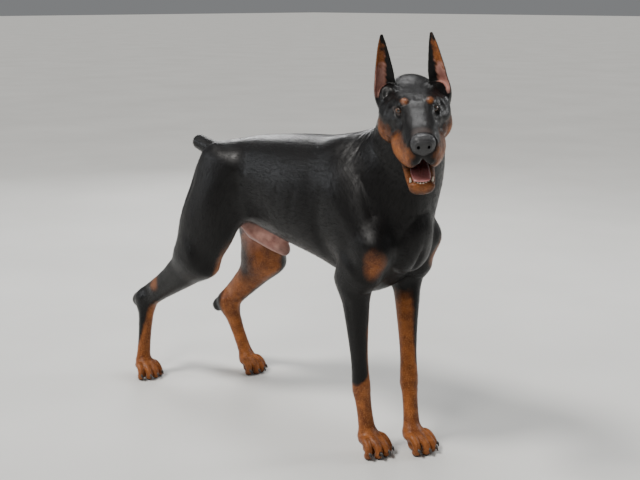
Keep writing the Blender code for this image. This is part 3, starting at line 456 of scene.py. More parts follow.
def paw_forms(fetlock, heading, size):
    """The middle of the foot, its big pad, and four arched toes with a pad under each."""
    at, axes = paw_frame(fetlock, heading, size)
    forms = [
        ("add", Ball(at(0.010, 0, 0.034), np.array((0.028, 0.0255, 0.019)) * size, axes, blend=0.018)),
        ("add", Ball(at(0.012, 0, 0.012), np.array((0.019, 0.0185, 0.0145)) * size, axes, blend=0.010)),
    ]
    for aside, reach, fan in TOES:
        turned = aside + fan * 0.05
        toe = Loft([
            (*at(0.006, aside * 0.80, 0.036), 0.0098, 0.0095, 0.0095),
            (*at(reach * 0.55, aside, 0.0375), 0.0098, 0.0100, 0.0100),
            (*at(reach * 0.86, (aside + turned) / 2, 0.0275), 0.0096, 0.0100, 0.0105),
            (*at(reach, turned, 0.0150), 0.0088, 0.0095, 0.0095),
        ], side=tuple(axes[1]), cap=0.008, spans=3, blend=0.006)
        forms.append(("add", toe))
        pad = Ball(at(reach * 0.90, turned, 0.0085), (0.0105, 0.0078, 0.0100), axes, blend=0.005)
        forms.append(("add", pad))
    return forms


def paws():
    """The fetlock, heading and size of each of the four paws."""
    for end, joints, size in (("front", FRONT_JOINTS, 1.0), ("hind", HIND_JOINTS, 0.93)):
        for s in (RIGHT, LEFT):
            yield joints[s]["fetlock"], PAW_HEADING[end][s], size


def body_forms():
    forms = torso_forms() + neck_forms()
    for s in (RIGHT, LEFT):
        forms += front_leg_forms(s) + hind_leg_forms(s)
    for fetlock, heading, size in paws():
        forms += paw_forms(fetlock, heading, size)
    return forms + tail_forms() + sheath_forms()


# The head, in its own axes


def jaw_place(x, y, z):
    """A place on the closed lower jaw, turned open about its hinge."""
    hinge = np.array([-0.055, 0, -0.045])
    off = np.array([x, y, z]) - hinge
    ahead = off[0] * math.cos(GAPE) + off[2] * math.sin(GAPE)
    up = off[2] * math.cos(GAPE) - off[0] * math.sin(GAPE)
    return hinge + np.array([ahead, off[1], up])


def eye_axes(s):
    """The rows are the way the eye looks, the line of its lids and the way up between them."""
    look = unit((0.89, s * 0.43, 0.10))
    lids = unit(np.cross((0.0, 0.0, 1.0), look) + (0, 0, s * 0.30))
    return np.array([look, lids, np.cross(look, lids)])


def eye_centre(s):
    return np.array([-0.0085, s * 0.0315, -0.001])


def skull_forms():
    skull = Loft([
        (-0.132, 0, 0.002, 0.043, 0.031, 0.045), (-0.102, 0, 0.000, 0.059, 0.0335, 0.056),
        (-0.066, 0, -0.002, 0.066, 0.0325, 0.064), (-0.030, 0, -0.006, 0.062, 0.0345, 0.064),
        (0.000, 0, -0.016, 0.049, 0.0400, 0.056), (0.025, 0, -0.027, 0.0405, 0.0415, 0.046),
        (0.055, 0, -0.035, 0.0365, 0.040, 0.036), (0.085, 0, -0.040, 0.0345, 0.036, 0.028),
        (0.107, 0, -0.043, 0.0310, 0.029, 0.020),
    ], power=2.5, cap=0.013, spans=4)
    forms = [("add", skull)]
    for s in (RIGHT, LEFT):
        forms += [
            ("add", Ball((-0.050, s * 0.044, -0.040), (0.042, 0.0290, 0.040), blend=0.018)),
            ("add", Loft([
                (0.108, s * 0.0140, -0.060, 0.0125, 0.0170, 0.0265),
                (0.095, s * 0.0225, -0.063, 0.0135, 0.0235, 0.0310),
                (0.066, s * 0.0330, -0.064, 0.0130, 0.0225, 0.0300),
                (0.034, s * 0.0405, -0.064, 0.0120, 0.0175, 0.0240),
                (0.006, s * 0.0430, -0.060, 0.0100, 0.0135, 0.0165),
                (-0.018, s * 0.0440, -0.056, 0.008, 0.012, 0.012),
            ], cap=0.010, spans=3, blend=0.012)),
            ("move", Swell((0.004, s * 0.030, 0.021), (0.024, 0.020, 0.014), 0.0050)),
            ("move", Swell((-0.010, s * 0.056, -0.020), (0.040, 0.020, 0.014), 0.0030)),
            ("move", Swell((0.036, s * 0.037, -0.012), (0.036, 0.020, 0.022), -0.0075)),
            ("move", Swell((0.012, s * 0.035, 0.000), (0.020, 0.016, 0.015), -0.0065)),
            ("move", Swell((-0.052, s * 0.056, 0.018), (0.036, 0.020, 0.024), -0.0040)),
            ("move", Swell((0.092, s * 0.027, -0.047), (0.022, 0.014, 0.018), 0.0020)),
        ]
    forehead = [(0.012, 0, 0.018), (-0.020, 0, 0.033), (-0.070, 0, 0.038)]
    lip_cleft = [(0.122, 0, -0.050), (0.122, 0, -0.062), (0.118, 0, -0.082)]
    forms.append(("move", Crease(forehead, 0.006, -0.0018)))
    forms.append(("move", Crease(lip_cleft, 0.0018, -0.0022)))
    return forms


def lid_forms():
    forms = []
    for s in (RIGHT, LEFT):
        axes, centre = eye_axes(s), eye_centre(s)
        socket = centre + axes[0] * 0.016
        forms += [
            ("move", Swell(socket + axes[1] * s * -0.008, (0.020, 0.018, 0.016), -0.0045, axes)),
            ("add", Ball(centre, EYE_RADIUS + LID_THICKNESS, blend=0.005)),
        ]
    return forms


def jaw_forms():
    rows = [((-0.060, 0, -0.066), 0.048, 0.020, 0.032), ((-0.020, 0, -0.080), 0.041, 0.018, 0.029),
            ((0.020, 0, -0.089), 0.033, 0.011, 0.024), ((0.060, 0, -0.0925), 0.0295, 0.0100, 0.0225),
            ((0.090, 0, -0.0940), 0.0265, 0.0095, 0.0215)]
    jaw = Loft([(*jaw_place(*place), side, up, down) for place, side, up, down in rows],
               power=2.3, cap=0.010, blend=0.014)
    rim = [jaw_place(x, y, z) for x, y, z in
           ((0.030, -0.028, -0.080), (0.080, -0.022, -0.083), (0.101, 0, -0.084), (0.080, 0.022, -0.083),
            (0.030, 0.028, -0.080))]
    bed = Loft([
        (*jaw_place(0.000, 0, -0.080), 0.020, 0.006, 0.006),
        (*jaw_place(0.085, 0, -0.081), 0.0195, 0.006, 0.006),
    ], cap=0.008, blend=0.003)
    return [("add", jaw), ("cut", mouth_form()), ("cut", bed), ("move", Crease(rim, 0.004, 0.0010))]


def mouth_form():
    """The space between the open jaws, from the corners of the lips to past the nose."""
    return Loft([
        (-0.020, 0, -0.077, 0.026, 0.003, 0.004), (0.012, 0, -0.0835, 0.031, 0.005, 0.0080),
        (0.050, 0, -0.0950, 0.025, 0.0140, 0.0100), (0.090, 0, -0.1035, 0.0215, 0.0215, 0.0150),
        (0.130, 0, -0.1120, 0.026, 0.0320, 0.0190),
    ], power=3.0, cap=0.006, blend=0.003)


def ear_shell(s):
    """A cropped ear, upright. A row is the share of the height, middle, half width, cup, thickness, lean."""
    rows = [(-0.34, 0.005, 0.010, 0.004, 0.0040, 0.006), (-0.16, 0.004, 0.0190, 0.013, 0.0036, 0.004),
            (0.03, 0.0025, 0.0235, 0.015, 0.0032, 0.002), (0.30, 0.002, 0.0205, 0.011, 0.0028, 0.000),
            (0.55, 0.0015, 0.0155, 0.007, 0.0026, 0.001), (0.80, 0.001, 0.0095, 0.003, 0.0023, 0.002),
            (1.00, 0.000, 0.0028, 0.001, 0.0018, 0.003)]
    shapes = {RIGHT: ((-0.070, -0.0530, 0.022), EAR_TIPS[RIGHT], (0.35, -1.0, 0)),
              LEFT: ((-0.070, 0.0498, 0.022), EAR_TIPS[LEFT], (0.75, 1.0, 0))}
    return Shell(*shapes[s], rows)


def ear_forms(s):
    """The ear, the swell that it grows from and the hollow of its base."""
    root = Ball((-0.069, s * 0.050, 0.013), (0.023, 0.020, 0.023), blend=0.014)
    hollow = Ball((-0.050, s * 0.0565, 0.044), (0.0100, 0.0110, 0.026), blend=0.012)
    return [("add", root), ("add", ear_shell(s)), ("cut", hollow)]


def nose_forms():
    """The bare nose pad, with its nostrils."""
    pad = Loft([
        (0.098, 0, -0.0330, 0.0200, 0.0150, 0.0190), (0.110, 0, -0.0330, 0.0235, 0.0175, 0.0225),
        (0.120, 0, -0.0345, 0.0225, 0.0160, 0.0230), (0.126, 0, -0.0360, 0.0170, 0.0115, 0.0180),
    ], power=2.4, cap=0.004, blend=0.004)
    forms = [("add", pad)]
    for s in (RIGHT, LEFT):
        hole = Loft([
            (0.126, s * 0.0085, -0.0365, 0.0042, 0.0048, 0.0048),
            (0.121, s * 0.0120, -0.0350, 0.0036, 0.0040, 0.0040),
        ], side=(0.3, s, 0), cap=0.003, blend=0.002)
        slit = Loft([
            (0.124, s * 0.0110, -0.0380, 0.0030, 0.0022, 0.0022),
            (0.114, s * 0.0235, -0.0420, 0.0030, 0.0016, 0.0016),
        ], side=(0, 0, 1), cap=0.003, blend=0.002)
        forms += [("cut", hole), ("cut", slit)]
    return forms


def tongue_forms():
    rows = [((-0.005, 0, -0.086), 0.0150, 0.0040, 0.0045), ((0.030, 0, -0.0835), 0.0180, 0.0040, 0.0045),
            ((0.065, 0, -0.0810), 0.0190, 0.0040, 0.0045), ((0.088, 0, -0.0810), 0.0170, 0.0035, 0.0035)]
    tongue = Loft([(*jaw_place(*place), side, up, down) for place, side, up, down in rows],
                  power=2.3, cap=0.007, blend=0.004)
    groove = [tuple(jaw_place(x, 0, -0.077)) for x in (0.005, 0.045, 0.084)]
    return [("add", tongue), ("move", Crease(groove, 0.003, -0.0012))]


def head_matrix():
    yaw, pitch, roll = (math.radians(angle) for angle in HEAD_TURN)
    turn = Matrix.Rotation(yaw, 4, "Z") @ Matrix.Rotation(pitch, 4, "Y") @ Matrix.Rotation(roll, 4, "X")
    return Matrix.Translation(HEAD_PLACE) @ turn


# Meshes


def new_object(name, mesh):
    """An object from a bmesh, which is freed, with its faces turned out."""
    bmesh.ops.recalc_face_normals(mesh, faces=mesh.faces)
    data = bpy.data.meshes.new(name)
    mesh.to_mesh(data)
    mesh.free()
    made = bpy.data.objects.new(name, data)
    bpy.context.scene.collection.objects.link(made)
    return made


def vectors(target, field):
    """The vertices' co or normal, as an array."""
    flat = np.empty(len(target.data.vertices) * 3, np.float32)
    target.data.vertices.foreach_get(field, flat)
    return flat.reshape(-1, 3).astype(float)


def put_points(target, points):
    target.data.vertices.foreach_set("co", points.astype(np.float32).ravel())
    target.data.update()


def settle(target, depth, rounds):
    """Moves the vertices along their normals onto the surface where depth is 0."""
    for _ in range(rounds):
        points = vectors(target, "co")
        step = np.clip(depth(points), -0.008, 0.008)[:, None]
        put_points(target, points - vectors(target, "normal") * step * 0.8)


CORNERS = np.array([(i, j, k) for i in (0, 1) for j in (0, 1) for k in (0, 1)])
CELL_EDGES = [(a, b) for a in range(8) for b in range(a + 1, 8) if abs(CORNERS[a] - CORNERS[b]).sum() == 1]
NEIGHBOURS = np.vstack([np.eye(3, dtype=int), -np.eye(3, dtype=int)])


def crossed_cells(depth, low, voxel, counts, start):
    """The cells of a grid that the surface passes through, spread over it from above a point inside."""
    values = np.full(counts + 1, np.nan)
    seen = np.zeros(counts, bool)
    first = np.floor((np.asarray(start) - low) / voxel).astype(int)
    cells = np.array([(first[0], first[1], k) for k in range(first[2], counts[2])])
    kept = []
    while len(cells):
        seen[tuple(cells.T)] = True
        corners = (cells[:, None] + CORNERS).reshape(-1, 3)
        fresh = once(corners[np.isnan(values[tuple(corners.T)])], counts + 1)
        if len(fresh):
            values[tuple(fresh.T)] = depth(low + fresh * voxel)
        inside = values[tuple(corners.T)].reshape(-1, 8) < 0
        cells = cells[inside.any(1) & ~inside.all(1)]
        kept.append(cells)
        around = (cells[:, None] + NEIGHBOURS).reshape(-1, 3)
        around = around[((around >= 0) & (around < counts)).all(1)]
        cells = once(around[~seen[tuple(around.T)]], counts)
    return np.vstack(kept), values


def once(cells, counts):
    """The cells without repeats."""
    return np.stack(np.unravel_index(np.unique(np.ravel_multi_index(cells.T, counts)), counts), axis=1)


def surface(name, depth, low, high, voxel, start):
    """A mesh where depth is 0 within a box: a point in each cell that the surface passes through."""
    low = np.asarray(low, float)
    counts = np.ceil((np.asarray(high) - low) / voxel).astype(int)
    cells, values = crossed_cells(depth, low, voxel, counts, start)
    total, count = np.zeros((len(cells), 3)), np.zeros((len(cells), 1))
    for a, b in CELL_EDGES:
        one, two = (values[tuple((cells + CORNERS[i]).T)][:, None] for i in (a, b))
        crossed = (one < 0) != (two < 0)
        share = one / np.where(one == two, 1, one - two)
        total += np.where(crossed, cells + CORNERS[a] * (1 - share) + CORNERS[b] * share, 0)
        count += crossed
    data = bpy.data.meshes.new(name)
    data.from_pydata((low + voxel * total / count).tolist(), [], cell_faces(cells, values, counts).tolist())
    made = bpy.data.objects.new(name, data)
    bpy.context.scene.collection.objects.link(made)
    return made


def cell_faces(cells, values, counts):
    """A quad across each edge of the grid that the surface crosses, its front outward."""
    number = np.full(counts + 1, -1)
    number[tuple(cells.T)] = np.arange(len(cells))
    faces = []
    for axis in range(3):
        way, one, two = (np.eye(3, dtype=int)[(axis + i) % 3] for i in range(3))
        here, ahead = values[tuple(cells.T)], values[tuple((cells + way).T)]
        crossed = (here < 0) != (ahead < 0)
        around = cells[crossed][:, None] + np.array((-one - two, -two, 0 * one, -one))
        found = number[tuple(np.moveaxis(around, 2, 0))]
        found = np.where((here[crossed] > 0)[:, None], found[:, ::-1], found)
        faces.append(found[(found >= 0).all(1)])
    return np.vstack(faces)


def settled(name, depth, low, high, voxel, start):
    """The surface's mesh, with its points moved closely onto it."""
    made = surface(name, depth, low, high, voxel, start)
    settle(made, depth, 2)
    return made


# Finer forms, only on the skin


def mirrored(s, creases, swells):
    """Creases and swells that are given for the left side, on the side s."""
    moves = [Crease([(x, s * y, z) for x, y, z in line], width, amount) for *line, width, amount in creases]
    return moves + [Swell((x, s * y, z), radii, amount) for (x, y, z), radii, amount in swells]


# Three points of a groove or ridge, its width and its height
BODY_CREASES = (
    ((-0.050, 0.094, 0.590), (-0.064, 0.104, 0.500), (-0.040, 0.104, 0.420), 0.016, -0.0045),
    ((0.040, 0.080, 0.640), (0.068, 0.088, 0.575), (0.090, 0.090, 0.530), 0.013, -0.0040),
    ((0.066, 0.115, 0.470), (0.050, 0.112, 0.430), (0.046, 0.100, 0.380), 0.010, -0.0030),
    ((-0.345, 0.098, 0.600), (-0.350, 0.108, 0.520), (-0.385, 0.112, 0.430), 0.018, -0.0060),
    ((-0.485, 0.100, 0.590), (-0.520, 0.108, 0.490), (-0.535, 0.100, 0.400), 0.012, -0.0050),
    ((-0.130, 0.110, 0.600), (-0.150, 0.122, 0.500), (-0.130, 0.105, 0.430), 0.009, -0.0012),
    ((-0.185, 0.115, 0.600), (-0.205, 0.122, 0.510), (-0.190, 0.105, 0.450), 0.009, -0.0012),
    ((-0.240, 0.110, 0.595), (-0.262, 0.114, 0.520), (-0.250, 0.100, 0.470), 0.009, -0.0012),
)
NECK_CREASES = (
    ((0.130, 0, 0.545), (0.138, 0, 0.470), (0.115, 0, 0.395), 0.008, -0.0050),
    ((0.212, -0.150, 0.700), (0.162, -0.105, 0.620), (0.128, -0.085, 0.540), 0.010, -0.0040),
    ((0.190, -0.160, 0.710), (0.140, -0.120, 0.630), (0.106, -0.100, 0.550), 0.012, 0.0030),
    ((0.235, -0.075, 0.690), (0.185, -0.010, 0.610), (0.140, 0.045, 0.530), 0.010, -0.0035),
)
# The middle of a muscle, its radii and its height
BODY_SWELLS = (
    ((0.092, 0.090, 0.480), (0.050, 0.040, 0.050), 0.0050),
    ((-0.005, 0.112, 0.450), (0.055, 0.035, 0.075), 0.0060),
    ((0.008, 0.085, 0.580), (0.045, 0.035, 0.080), 0.0040),
    ((-0.420, 0.120, 0.500), (0.060, 0.035, 0.100), 0.0050),
    ((-0.445, 0.078, 0.650), (0.035, 0.030, 0.025), 0.0030),
)
FACE_CREASES = (
    ((0.022, 0.019, 0.002), (0.050, 0.024, -0.004), (0.088, 0.024, -0.014), 0.0045, 0.0016),
    ((0.014, 0.024, -0.006), (0.034, 0.031, -0.018), (0.052, 0.034, -0.028), 0.0050, -0.0020),
    ((-0.014, 0.055, -0.010), (-0.036, 0.066, -0.014), (-0.062, 0.068, -0.010), 0.009, 0.0022),
    ((-0.016, 0.058, -0.030), (-0.024, 0.062, -0.052), (-0.020, 0.056, -0.068), 0.006, -0.0020),
    ((0.104, 0.020, -0.046), (0.092, 0.031, -0.042), (0.070, 0.036, -0.040), 0.0035, -0.0010),
)
FACE_SWELLS = (
    ((0.008, 0.024, 0.019), (0.014, 0.012, 0.010), 0.0022),
    ((-0.046, 0.070, -0.048), (0.030, 0.020, 0.028), 0.0025),
    ((0.070, 0.038, -0.062), (0.024, 0.014, 0.018), 0.0014),
)


def body_details():
    """Muscles and folds: shoulder, upper arm, chest, flank, ribs, thigh, neck and legs."""
    moves = mirrored(LEFT, NECK_CREASES, ())
    for s in (RIGHT, LEFT):
        moves += mirrored(s, BODY_CREASES, BODY_SWELLS) + arm_details(s) + hock_details(s)
    return [("move", move) for move in moves]


def line_beside(a, b, shares, off):
    """Points at these shares of the way from a to b, moved by off, which may depend on the share."""
    return [between(a, b, t) + (off(t) if callable(off) else off) for t in shares]


def arm_details(s):
    """Grooves of the forearm, folds over the wrist and the lines of the toe bones."""
    _, elbow, carpus, fetlock = joints_of(FRONT_JOINTS, s, "shoulder elbow carpus fetlock")
    out = np.array((0.0, s * 0.030, 0.0))
    outer = line_beside(elbow, carpus, (0.1, 0.45, 0.8), lambda t: out * (1.0 - 0.3 * t) + (0.004, 0, 0))
    rear = line_beside(elbow, carpus, (0.35, 0.6, 0.9), out * 0.4 - (0.022, 0, 0))
    toes = line_beside(carpus, fetlock, (0.35, 0.65, 0.95), np.array((0.016, 0, 0)))
    folds = [[carpus + (0.012, -0.018, z), carpus + (0.024, 0, z - 0.003), carpus + (0.012, 0.018, z)]
             for z in (-0.012, 0.006)]
    return [Crease(outer, 0.006, -0.0022), Crease(rear, 0.004, -0.0018), Crease(toes, 0.004, -0.0012),
            Swell(carpus + (0.018, 0, 0.010), (0.014, 0.020, 0.018), 0.0016),
            *(Crease(fold, 0.0026, -0.0009) for fold in folds)]


def hock_details(s):
    """A vein, the split before the heel's tendon, the shin's edge and the lines of the toe bones."""
    knee, hock, fetlock = joints_of(HIND_JOINTS, s, "knee hock fetlock")
    out = np.array((0.0, s * 0.022, 0.0))
    vein = [between(knee, hock, 0.60) + out + (-0.010, 0, 0.010), between(knee, hock, 0.85) + out,
            hock + out + (0.006, 0, -0.020), between(hock, fetlock, 0.4) + out * 0.8]
    split = line_beside(hock, fetlock, (0.15, 0.45, 0.8), out * 0.75 - (0.010, 0, 0))
    shin = line_beside(knee, hock, (0.25, 0.5, 0.8), out * 1.2 + (0.012, 0, 0))
    toes = line_beside(hock, fetlock, (0.5, 0.75, 1.0), np.array((0.014, 0, 0)))
    return [Crease(vein, 0.0030, 0.0012), Crease(split, 0.0045, -0.0020), Crease(shin, 0.007, -0.0022),
            Crease(toes, 0.004, -0.0010),
            Swell(hock + out + (0.004, 0, 0.006), (0.012, 0.010, 0.014), 0.0016)]


def head_details():
    """The planes and folds of the face."""
    moves = [Swell((0.112, 0, -0.062), (0.010, 0.008, 0.012), -0.0010)]
    for s in (RIGHT, LEFT):
        moves += mirrored(s, FACE_CREASES, FACE_SWELLS) + lid_details(s)
    return [("move", move) for move in moves]


def lid_details(s):
    """A fold over the upper lid and one under the lower lid, and the inner corner's groove."""
    axes, centre = eye_axes(s), eye_centre(s)
    reach = EYE_RADIUS + LID_THICKNESS

    def at(along, up, out=0.55):
        spot = unit(axes[0] * out + axes[1] * along + axes[2] * up)
        return tuple(centre + spot * (reach + 0.0005))

    over = [at(t, 0.95 - 0.5 * t * t) for t in (-1.0, -0.5, 0.0, 0.5, 1.0)]
    under = [at(t, -0.95 + 0.4 * t * t) for t in (-1.0, -0.5, 0.0, 0.5, 1.0)]
    inner = [at(-s * 1.05, -0.10), at(-s * 1.5, -0.35), at(-s * 2.2, -0.75)]
    return [Crease(over, 0.0016, -0.0011), Crease(under, 0.0018, -0.0010), Crease(inner, 0.0022, -0.0012)]


def to_head(points):
    turn = np.array(head_matrix().inverted())
    return points @ turn[:3, :3].T + turn[:3, 3]


def skin_depth(points):
    """How far the points are outside the skin, which lies under the coat."""
    spots = to_head(points)
    body = depth_of(points, BODY_FORMS)
    head = depth_of(spots, HEAD_FORMS)
    thin = np.clip((spots[:, 2] - 0.035) / 0.020, 0, 1) * (head < body)
    return smooth_least(body, head, 0.016) + COAT_DEPTH * (1 - 0.6 * thin)


BODY_FORMS = body_forms() + body_details()
HEAD_FORMS = skull_forms() + jaw_forms() + lid_forms() + head_details() + ear_forms(RIGHT) + ear_forms(LEFT)


# The skin


def open_cut(target, place, way):
    """Cuts off what lies beyond a plane, and leaves the cut open."""
    mesh = bmesh.new()
    mesh.from_mesh(target.data)
    bmesh.ops.bisect_plane(mesh, geom=mesh.verts[:] + mesh.edges[:] + mesh.faces[:], dist=0.00001,
                           plane_co=Vector(place), plane_no=Vector(way), clear_outer=True)
    loose = [vertex for vertex in mesh.verts if not vertex.link_faces]
    bmesh.ops.delete(mesh, geom=loose, context="VERTS")
    mesh.to_mesh(target.data)
    mesh.free()


def finer(target, near):
    """Splits the faces whose middles near() picks into four."""
    mesh = bmesh.new()
    mesh.from_mesh(target.data)
    picked = near(np.array([face.calc_center_median() for face in mesh.faces]))
    edges = {edge for face, hit in zip(mesh.faces, picked) if hit for edge in face.edges}
    bmesh.ops.subdivide_edges(mesh, edges=list(edges), cuts=1, use_grid_fill=True)
    mesh.to_mesh(target.data)
    mesh.free()


def near_face(points):
    """Where the face has its fine forms: the eyes, the lips and the end of the muzzle."""
    spots = to_head(points)
    return (np.linalg.norm(spots - (0.100, 0, -0.070), axis=1) < 0.040) | near_eyes(points)


def near_eyes(points):
    spots = to_head(points)
    eyes = [eye_centre(s) + eye_axes(s)[0] * 0.010 for s in (RIGHT, LEFT)]
    return np.min([np.linalg.norm(spots - eye, axis=1) for eye in eyes], axis=0) < 0.0175


def lid_share(spots, s):
    """Below 1 in the opening between the lids, 1 at their margins, as seen from before the eye."""
    out, along, up = ((spots - eye_centre(s)) @ eye_axes(s).T).T
    half = np.where(up > 0, LID_RISE, LID_DROP)
    inner = -s * along
    share = (np.abs(along) / LID_HALF) ** 1.8 + (np.abs(up + 0.10 * inner) / half) ** 1.8
    return np.where(out > 0.001, share ** (1 / 1.8), 9.0)


def open_lids(head):
    """Presses the skin between the lids to behind the eye, with a rounded margin."""
    points = vectors(head, "co")
    spots = to_head(points)
    for s in (RIGHT, LEFT):
        off = spots - eye_centre(s)
        length = np.linalg.norm(off, axis=1)
        share = lid_share(spots, s)
        ratio = np.clip((share - 0.94) / 0.16, 0, 1)
        ratio = ratio * ratio * (3 - 2 * ratio)
        lid = smooth_least(length, EYE_RADIUS + LID_DEPTH + 0.0036 * np.maximum(share - 1.1, 0), 0.0015)
        moved = eye_centre(s) + off / length[:, None] * (HIDDEN + (lid - HIDDEN) * ratio)[:, None]
        near = np.clip((0.0265 - length) / 0.0075, 0, 1)[:, None]
        spots += (moved - spots) * near * near * (3 - 2 * near)
    place = np.array(head_matrix())
    put_points(head, spots @ place[:3, :3].T + place[:3, 3])


def box_of(points, more):
    points = np.array(points)
    return points.min(0) - more, points.max(0) + more


# Points that the head's grid has to reach, in its own axes
HEAD_REACH = ((0.13, 0, -0.04), (0.06, 0, -0.16), (-0.08, -0.06, 0.14), (-0.08, 0.04, 0.14),
              (-0.16, 0, 0.0), (-0.05, -0.08, -0.10), (-0.05, 0.08, -0.10), (-0.12, 0, -0.12))


def back_of_head():
    """A point on the plane that parts the head from the neck, and the plane's way back."""
    place = head_matrix()
    return place @ Vector(HEAD_BACK[0]), place.to_3x3() @ Vector(HEAD_BACK[1])


def head_skin():
    place = head_matrix()
    low, high = box_of([place @ Vector(spot) for spot in HEAD_REACH], 0.020)
    head = settled("head_skin", skin_depth, low, high, HEAD_VOXEL, place @ Vector((-0.03, 0, -0.02)))
    finer(head, near_face)
    finer(head, near_eyes)
    settle(head, skin_depth, 2)
    open_lids(head)
    open_cut(head, *back_of_head())
    return head


def paw_skin(fetlock):
    foot = np.array((fetlock[0], fetlock[1], 0.0))
    paw = settled("paw_skin", skin_depth, foot - (0.06, 0.07, 0.01), foot + (0.10, 0.07, 0.08), PAW_VOXEL,
                  foot + (0.030, 0, 0.030))
    open_cut(paw, (0, 0, PAW_TOP), (0, 0, 1))
    return paw


def body_skin():
    low, high = (-0.82, -0.30, -0.02), (0.42, 0.20, 0.97)
    body = settled("skin", skin_depth, low, high, BODY_VOXEL, (-0.20, 0, 0.54))
    point, way = back_of_head()
    open_cut(body, point - way * SEAM, -way)
    open_cut(body, (0, 0, PAW_TOP + SEAM), (0, 0, -1))
    return body


def close_seams(target):
    """Joins the open rims of the grafted pieces, each to the one that faces it."""
    mesh = bmesh.new()
    mesh.from_mesh(target.data)
    loops = rim_loops(mesh)
    middles = [sum((v.co for v in loop), Vector()) / len(loop) for loop in loops]
    left = set(range(len(loops)))
    while len(left) > 1:
        i = left.pop()
        j = min(left, key=lambda k: (middles[k] - middles[i]).length)
        if (middles[j] - middles[i]).length < 10 * SEAM:
            left.remove(j)
            zip_loops(mesh, loops[i], loops[j])
    bmesh.ops.recalc_face_normals(mesh, faces=mesh.faces)
    mesh.to_mesh(target.data)
    mesh.free()


def rim_loops(mesh):
    """The open rims, each as its vertices in order, without any small scrap."""
    left = {edge for edge in mesh.edges if edge.is_boundary}
    loops = []
    while left:
        edge = left.pop()
        loop = [edge.verts[0], edge.verts[1]]
        while True:
            ahead = [other for other in loop[-1].link_edges if other in left]
            if not ahead:
                break
            left.remove(ahead[0])
            loop.append(ahead[0].other_vert(loop[-1]))
        loops.append(loop[:-1] if loop[0] == loop[-1] else loop)
    return [loop for loop in loops if len(loop) > 20]


def turned(loop, centre, across, up):
    """The loop's vertices and angles about the centre, both rising, from the least angle."""
    angles = np.unwrap([math.atan2((v.co - centre).dot(up), (v.co - centre).dot(across)) for v in loop])
    if angles[-1] < angles[0]:
        loop, angles = loop[::-1], angles[::-1]
    first = int(np.argmin(angles % (2 * math.pi)))
    loop = loop[first:] + loop[:first]
    angles = np.unwrap(np.concatenate([angles[first:], angles[:first]]) % (2 * math.pi))
    return loop, np.append(angles, angles[0] + 2 * math.pi)


def zip_loops(mesh, first, second):
    """A band of triangles between two rims that face each other."""
    centre = sum((v.co for v in first), Vector()) / len(first)
    crossed = (np.cross(a.co - centre, b.co - centre) for a, b in zip(first, first[1:]))
    normal = Vector(sum(crossed, np.zeros(3)))
    across = normal.orthogonal().normalized()
    up = normal.normalized().cross(across)
    first, low = turned(first, centre, across, up)
    second, high = turned(second, centre, across, up)
    i = j = 0
    while i < len(first) or j < len(second):
        a, b = first[i % len(first)], second[j % len(second)]
        if j == len(second) or (i < len(first) and low[i + 1] < high[j + 1]):
            mesh.faces.new((a, first[(i + 1) % len(first)], b))
            i += 1
        else:
            mesh.faces.new((a, second[(j + 1) % len(second)], b))
            j += 1


def join(pieces, name):
    """One object from several, which are removed."""
    mesh = bmesh.new()
    for piece in pieces:
        mesh.from_mesh(piece.data)
        bpy.data.objects.remove(piece)
    return new_object(name, mesh)


def make_skin():
    pieces = [body_skin(), head_skin()] + [paw_skin(fetlock) for fetlock, _, _ in paws()]
    skin = join(pieces, "skin")
    close_seams(skin)
    points = vectors(skin, "co")
    points[:, 2] = np.maximum(points[:, 2], 0.0)
    put_points(skin, points)
    return skin


# The lie of the coat: lines that the hair follows, each with the radius of what it runs in


def leg_line(points, size, heading):
    """The joints of a leg, and a point at the toes."""
    ahead = np.array((math.cos(heading), math.sin(heading), 0)) * 0.045 * size
    return points + [points[-1] + ahead + (0, 0, -0.022)]


def coat_lines():
    """Name, points in the order that the hair lies, and a radius at each point."""
    place = np.array(head_matrix())

    def face(points):
        return [place[:3, :3] @ np.array(p) + place[:3, 3] for p in points]

    lines = [
        ("trunk", [(0.110, 0, 0.490), (0.02, 0, 0.515), (-0.12, 0, 0.535), (-0.30, 0, 0.555),
                   (-0.52, 0, 0.566)], (0.07, 0.11, 0.13, 0.11, 0.06)),
        ("neck", [(0.200, -0.105, 0.805), (0.150, -0.055, 0.750), (0.096, 0.003, 0.682),
                  (0.050, 0.012, 0.600)], (0.055, 0.065, 0.085, 0.10)),
        ("head", face([(0.122, 0, -0.040), (0.060, 0, -0.030), (0.0, 0, -0.012), (-0.110, 0, 0.0)]),
         (0.015, 0.035, 0.045, 0.05)),
        ("chin", face([jaw_place(x, 0, z) for x, z in ((0.095, -0.095), (0.03, -0.092), (-0.05, -0.075))]),
         (0.012, 0.02, 0.03)),
        ("tail", [(-0.500, 0, 0.605), (-0.570, 0, 0.629), (-0.615, 0, 0.641)], (0.03, 0.022, 0.02)),
    ]
    for word, s in SIDES.items():
        root, tip = np.array((-0.070, s * 0.0520, 0.010)), np.array(EAR_TIPS[s])
        lines.append((f"ear_{word}", face([root, (root + tip) / 2, tip]), (0.016, 0.010, 0.003)))
        front = joints_of(FRONT_JOINTS, s, "shoulder elbow carpus fetlock")
        front = [np.array((0.010, s * 0.080, 0.590))] + leg_line(front, 1.0, PAW_HEADING["front"][s])
        lines.append((f"front_{word}", front, (0.045, 0.045, 0.036, 0.021, 0.018, 0.020)))
        hind = leg_line(joints_of(HIND_JOINTS, s, "hip knee hock fetlock"), 0.93, PAW_HEADING["hind"][s])
        lines.append((f"hind_{word}", hind, (0.075, 0.065, 0.024, 0.018, 0.020)))
    return lines


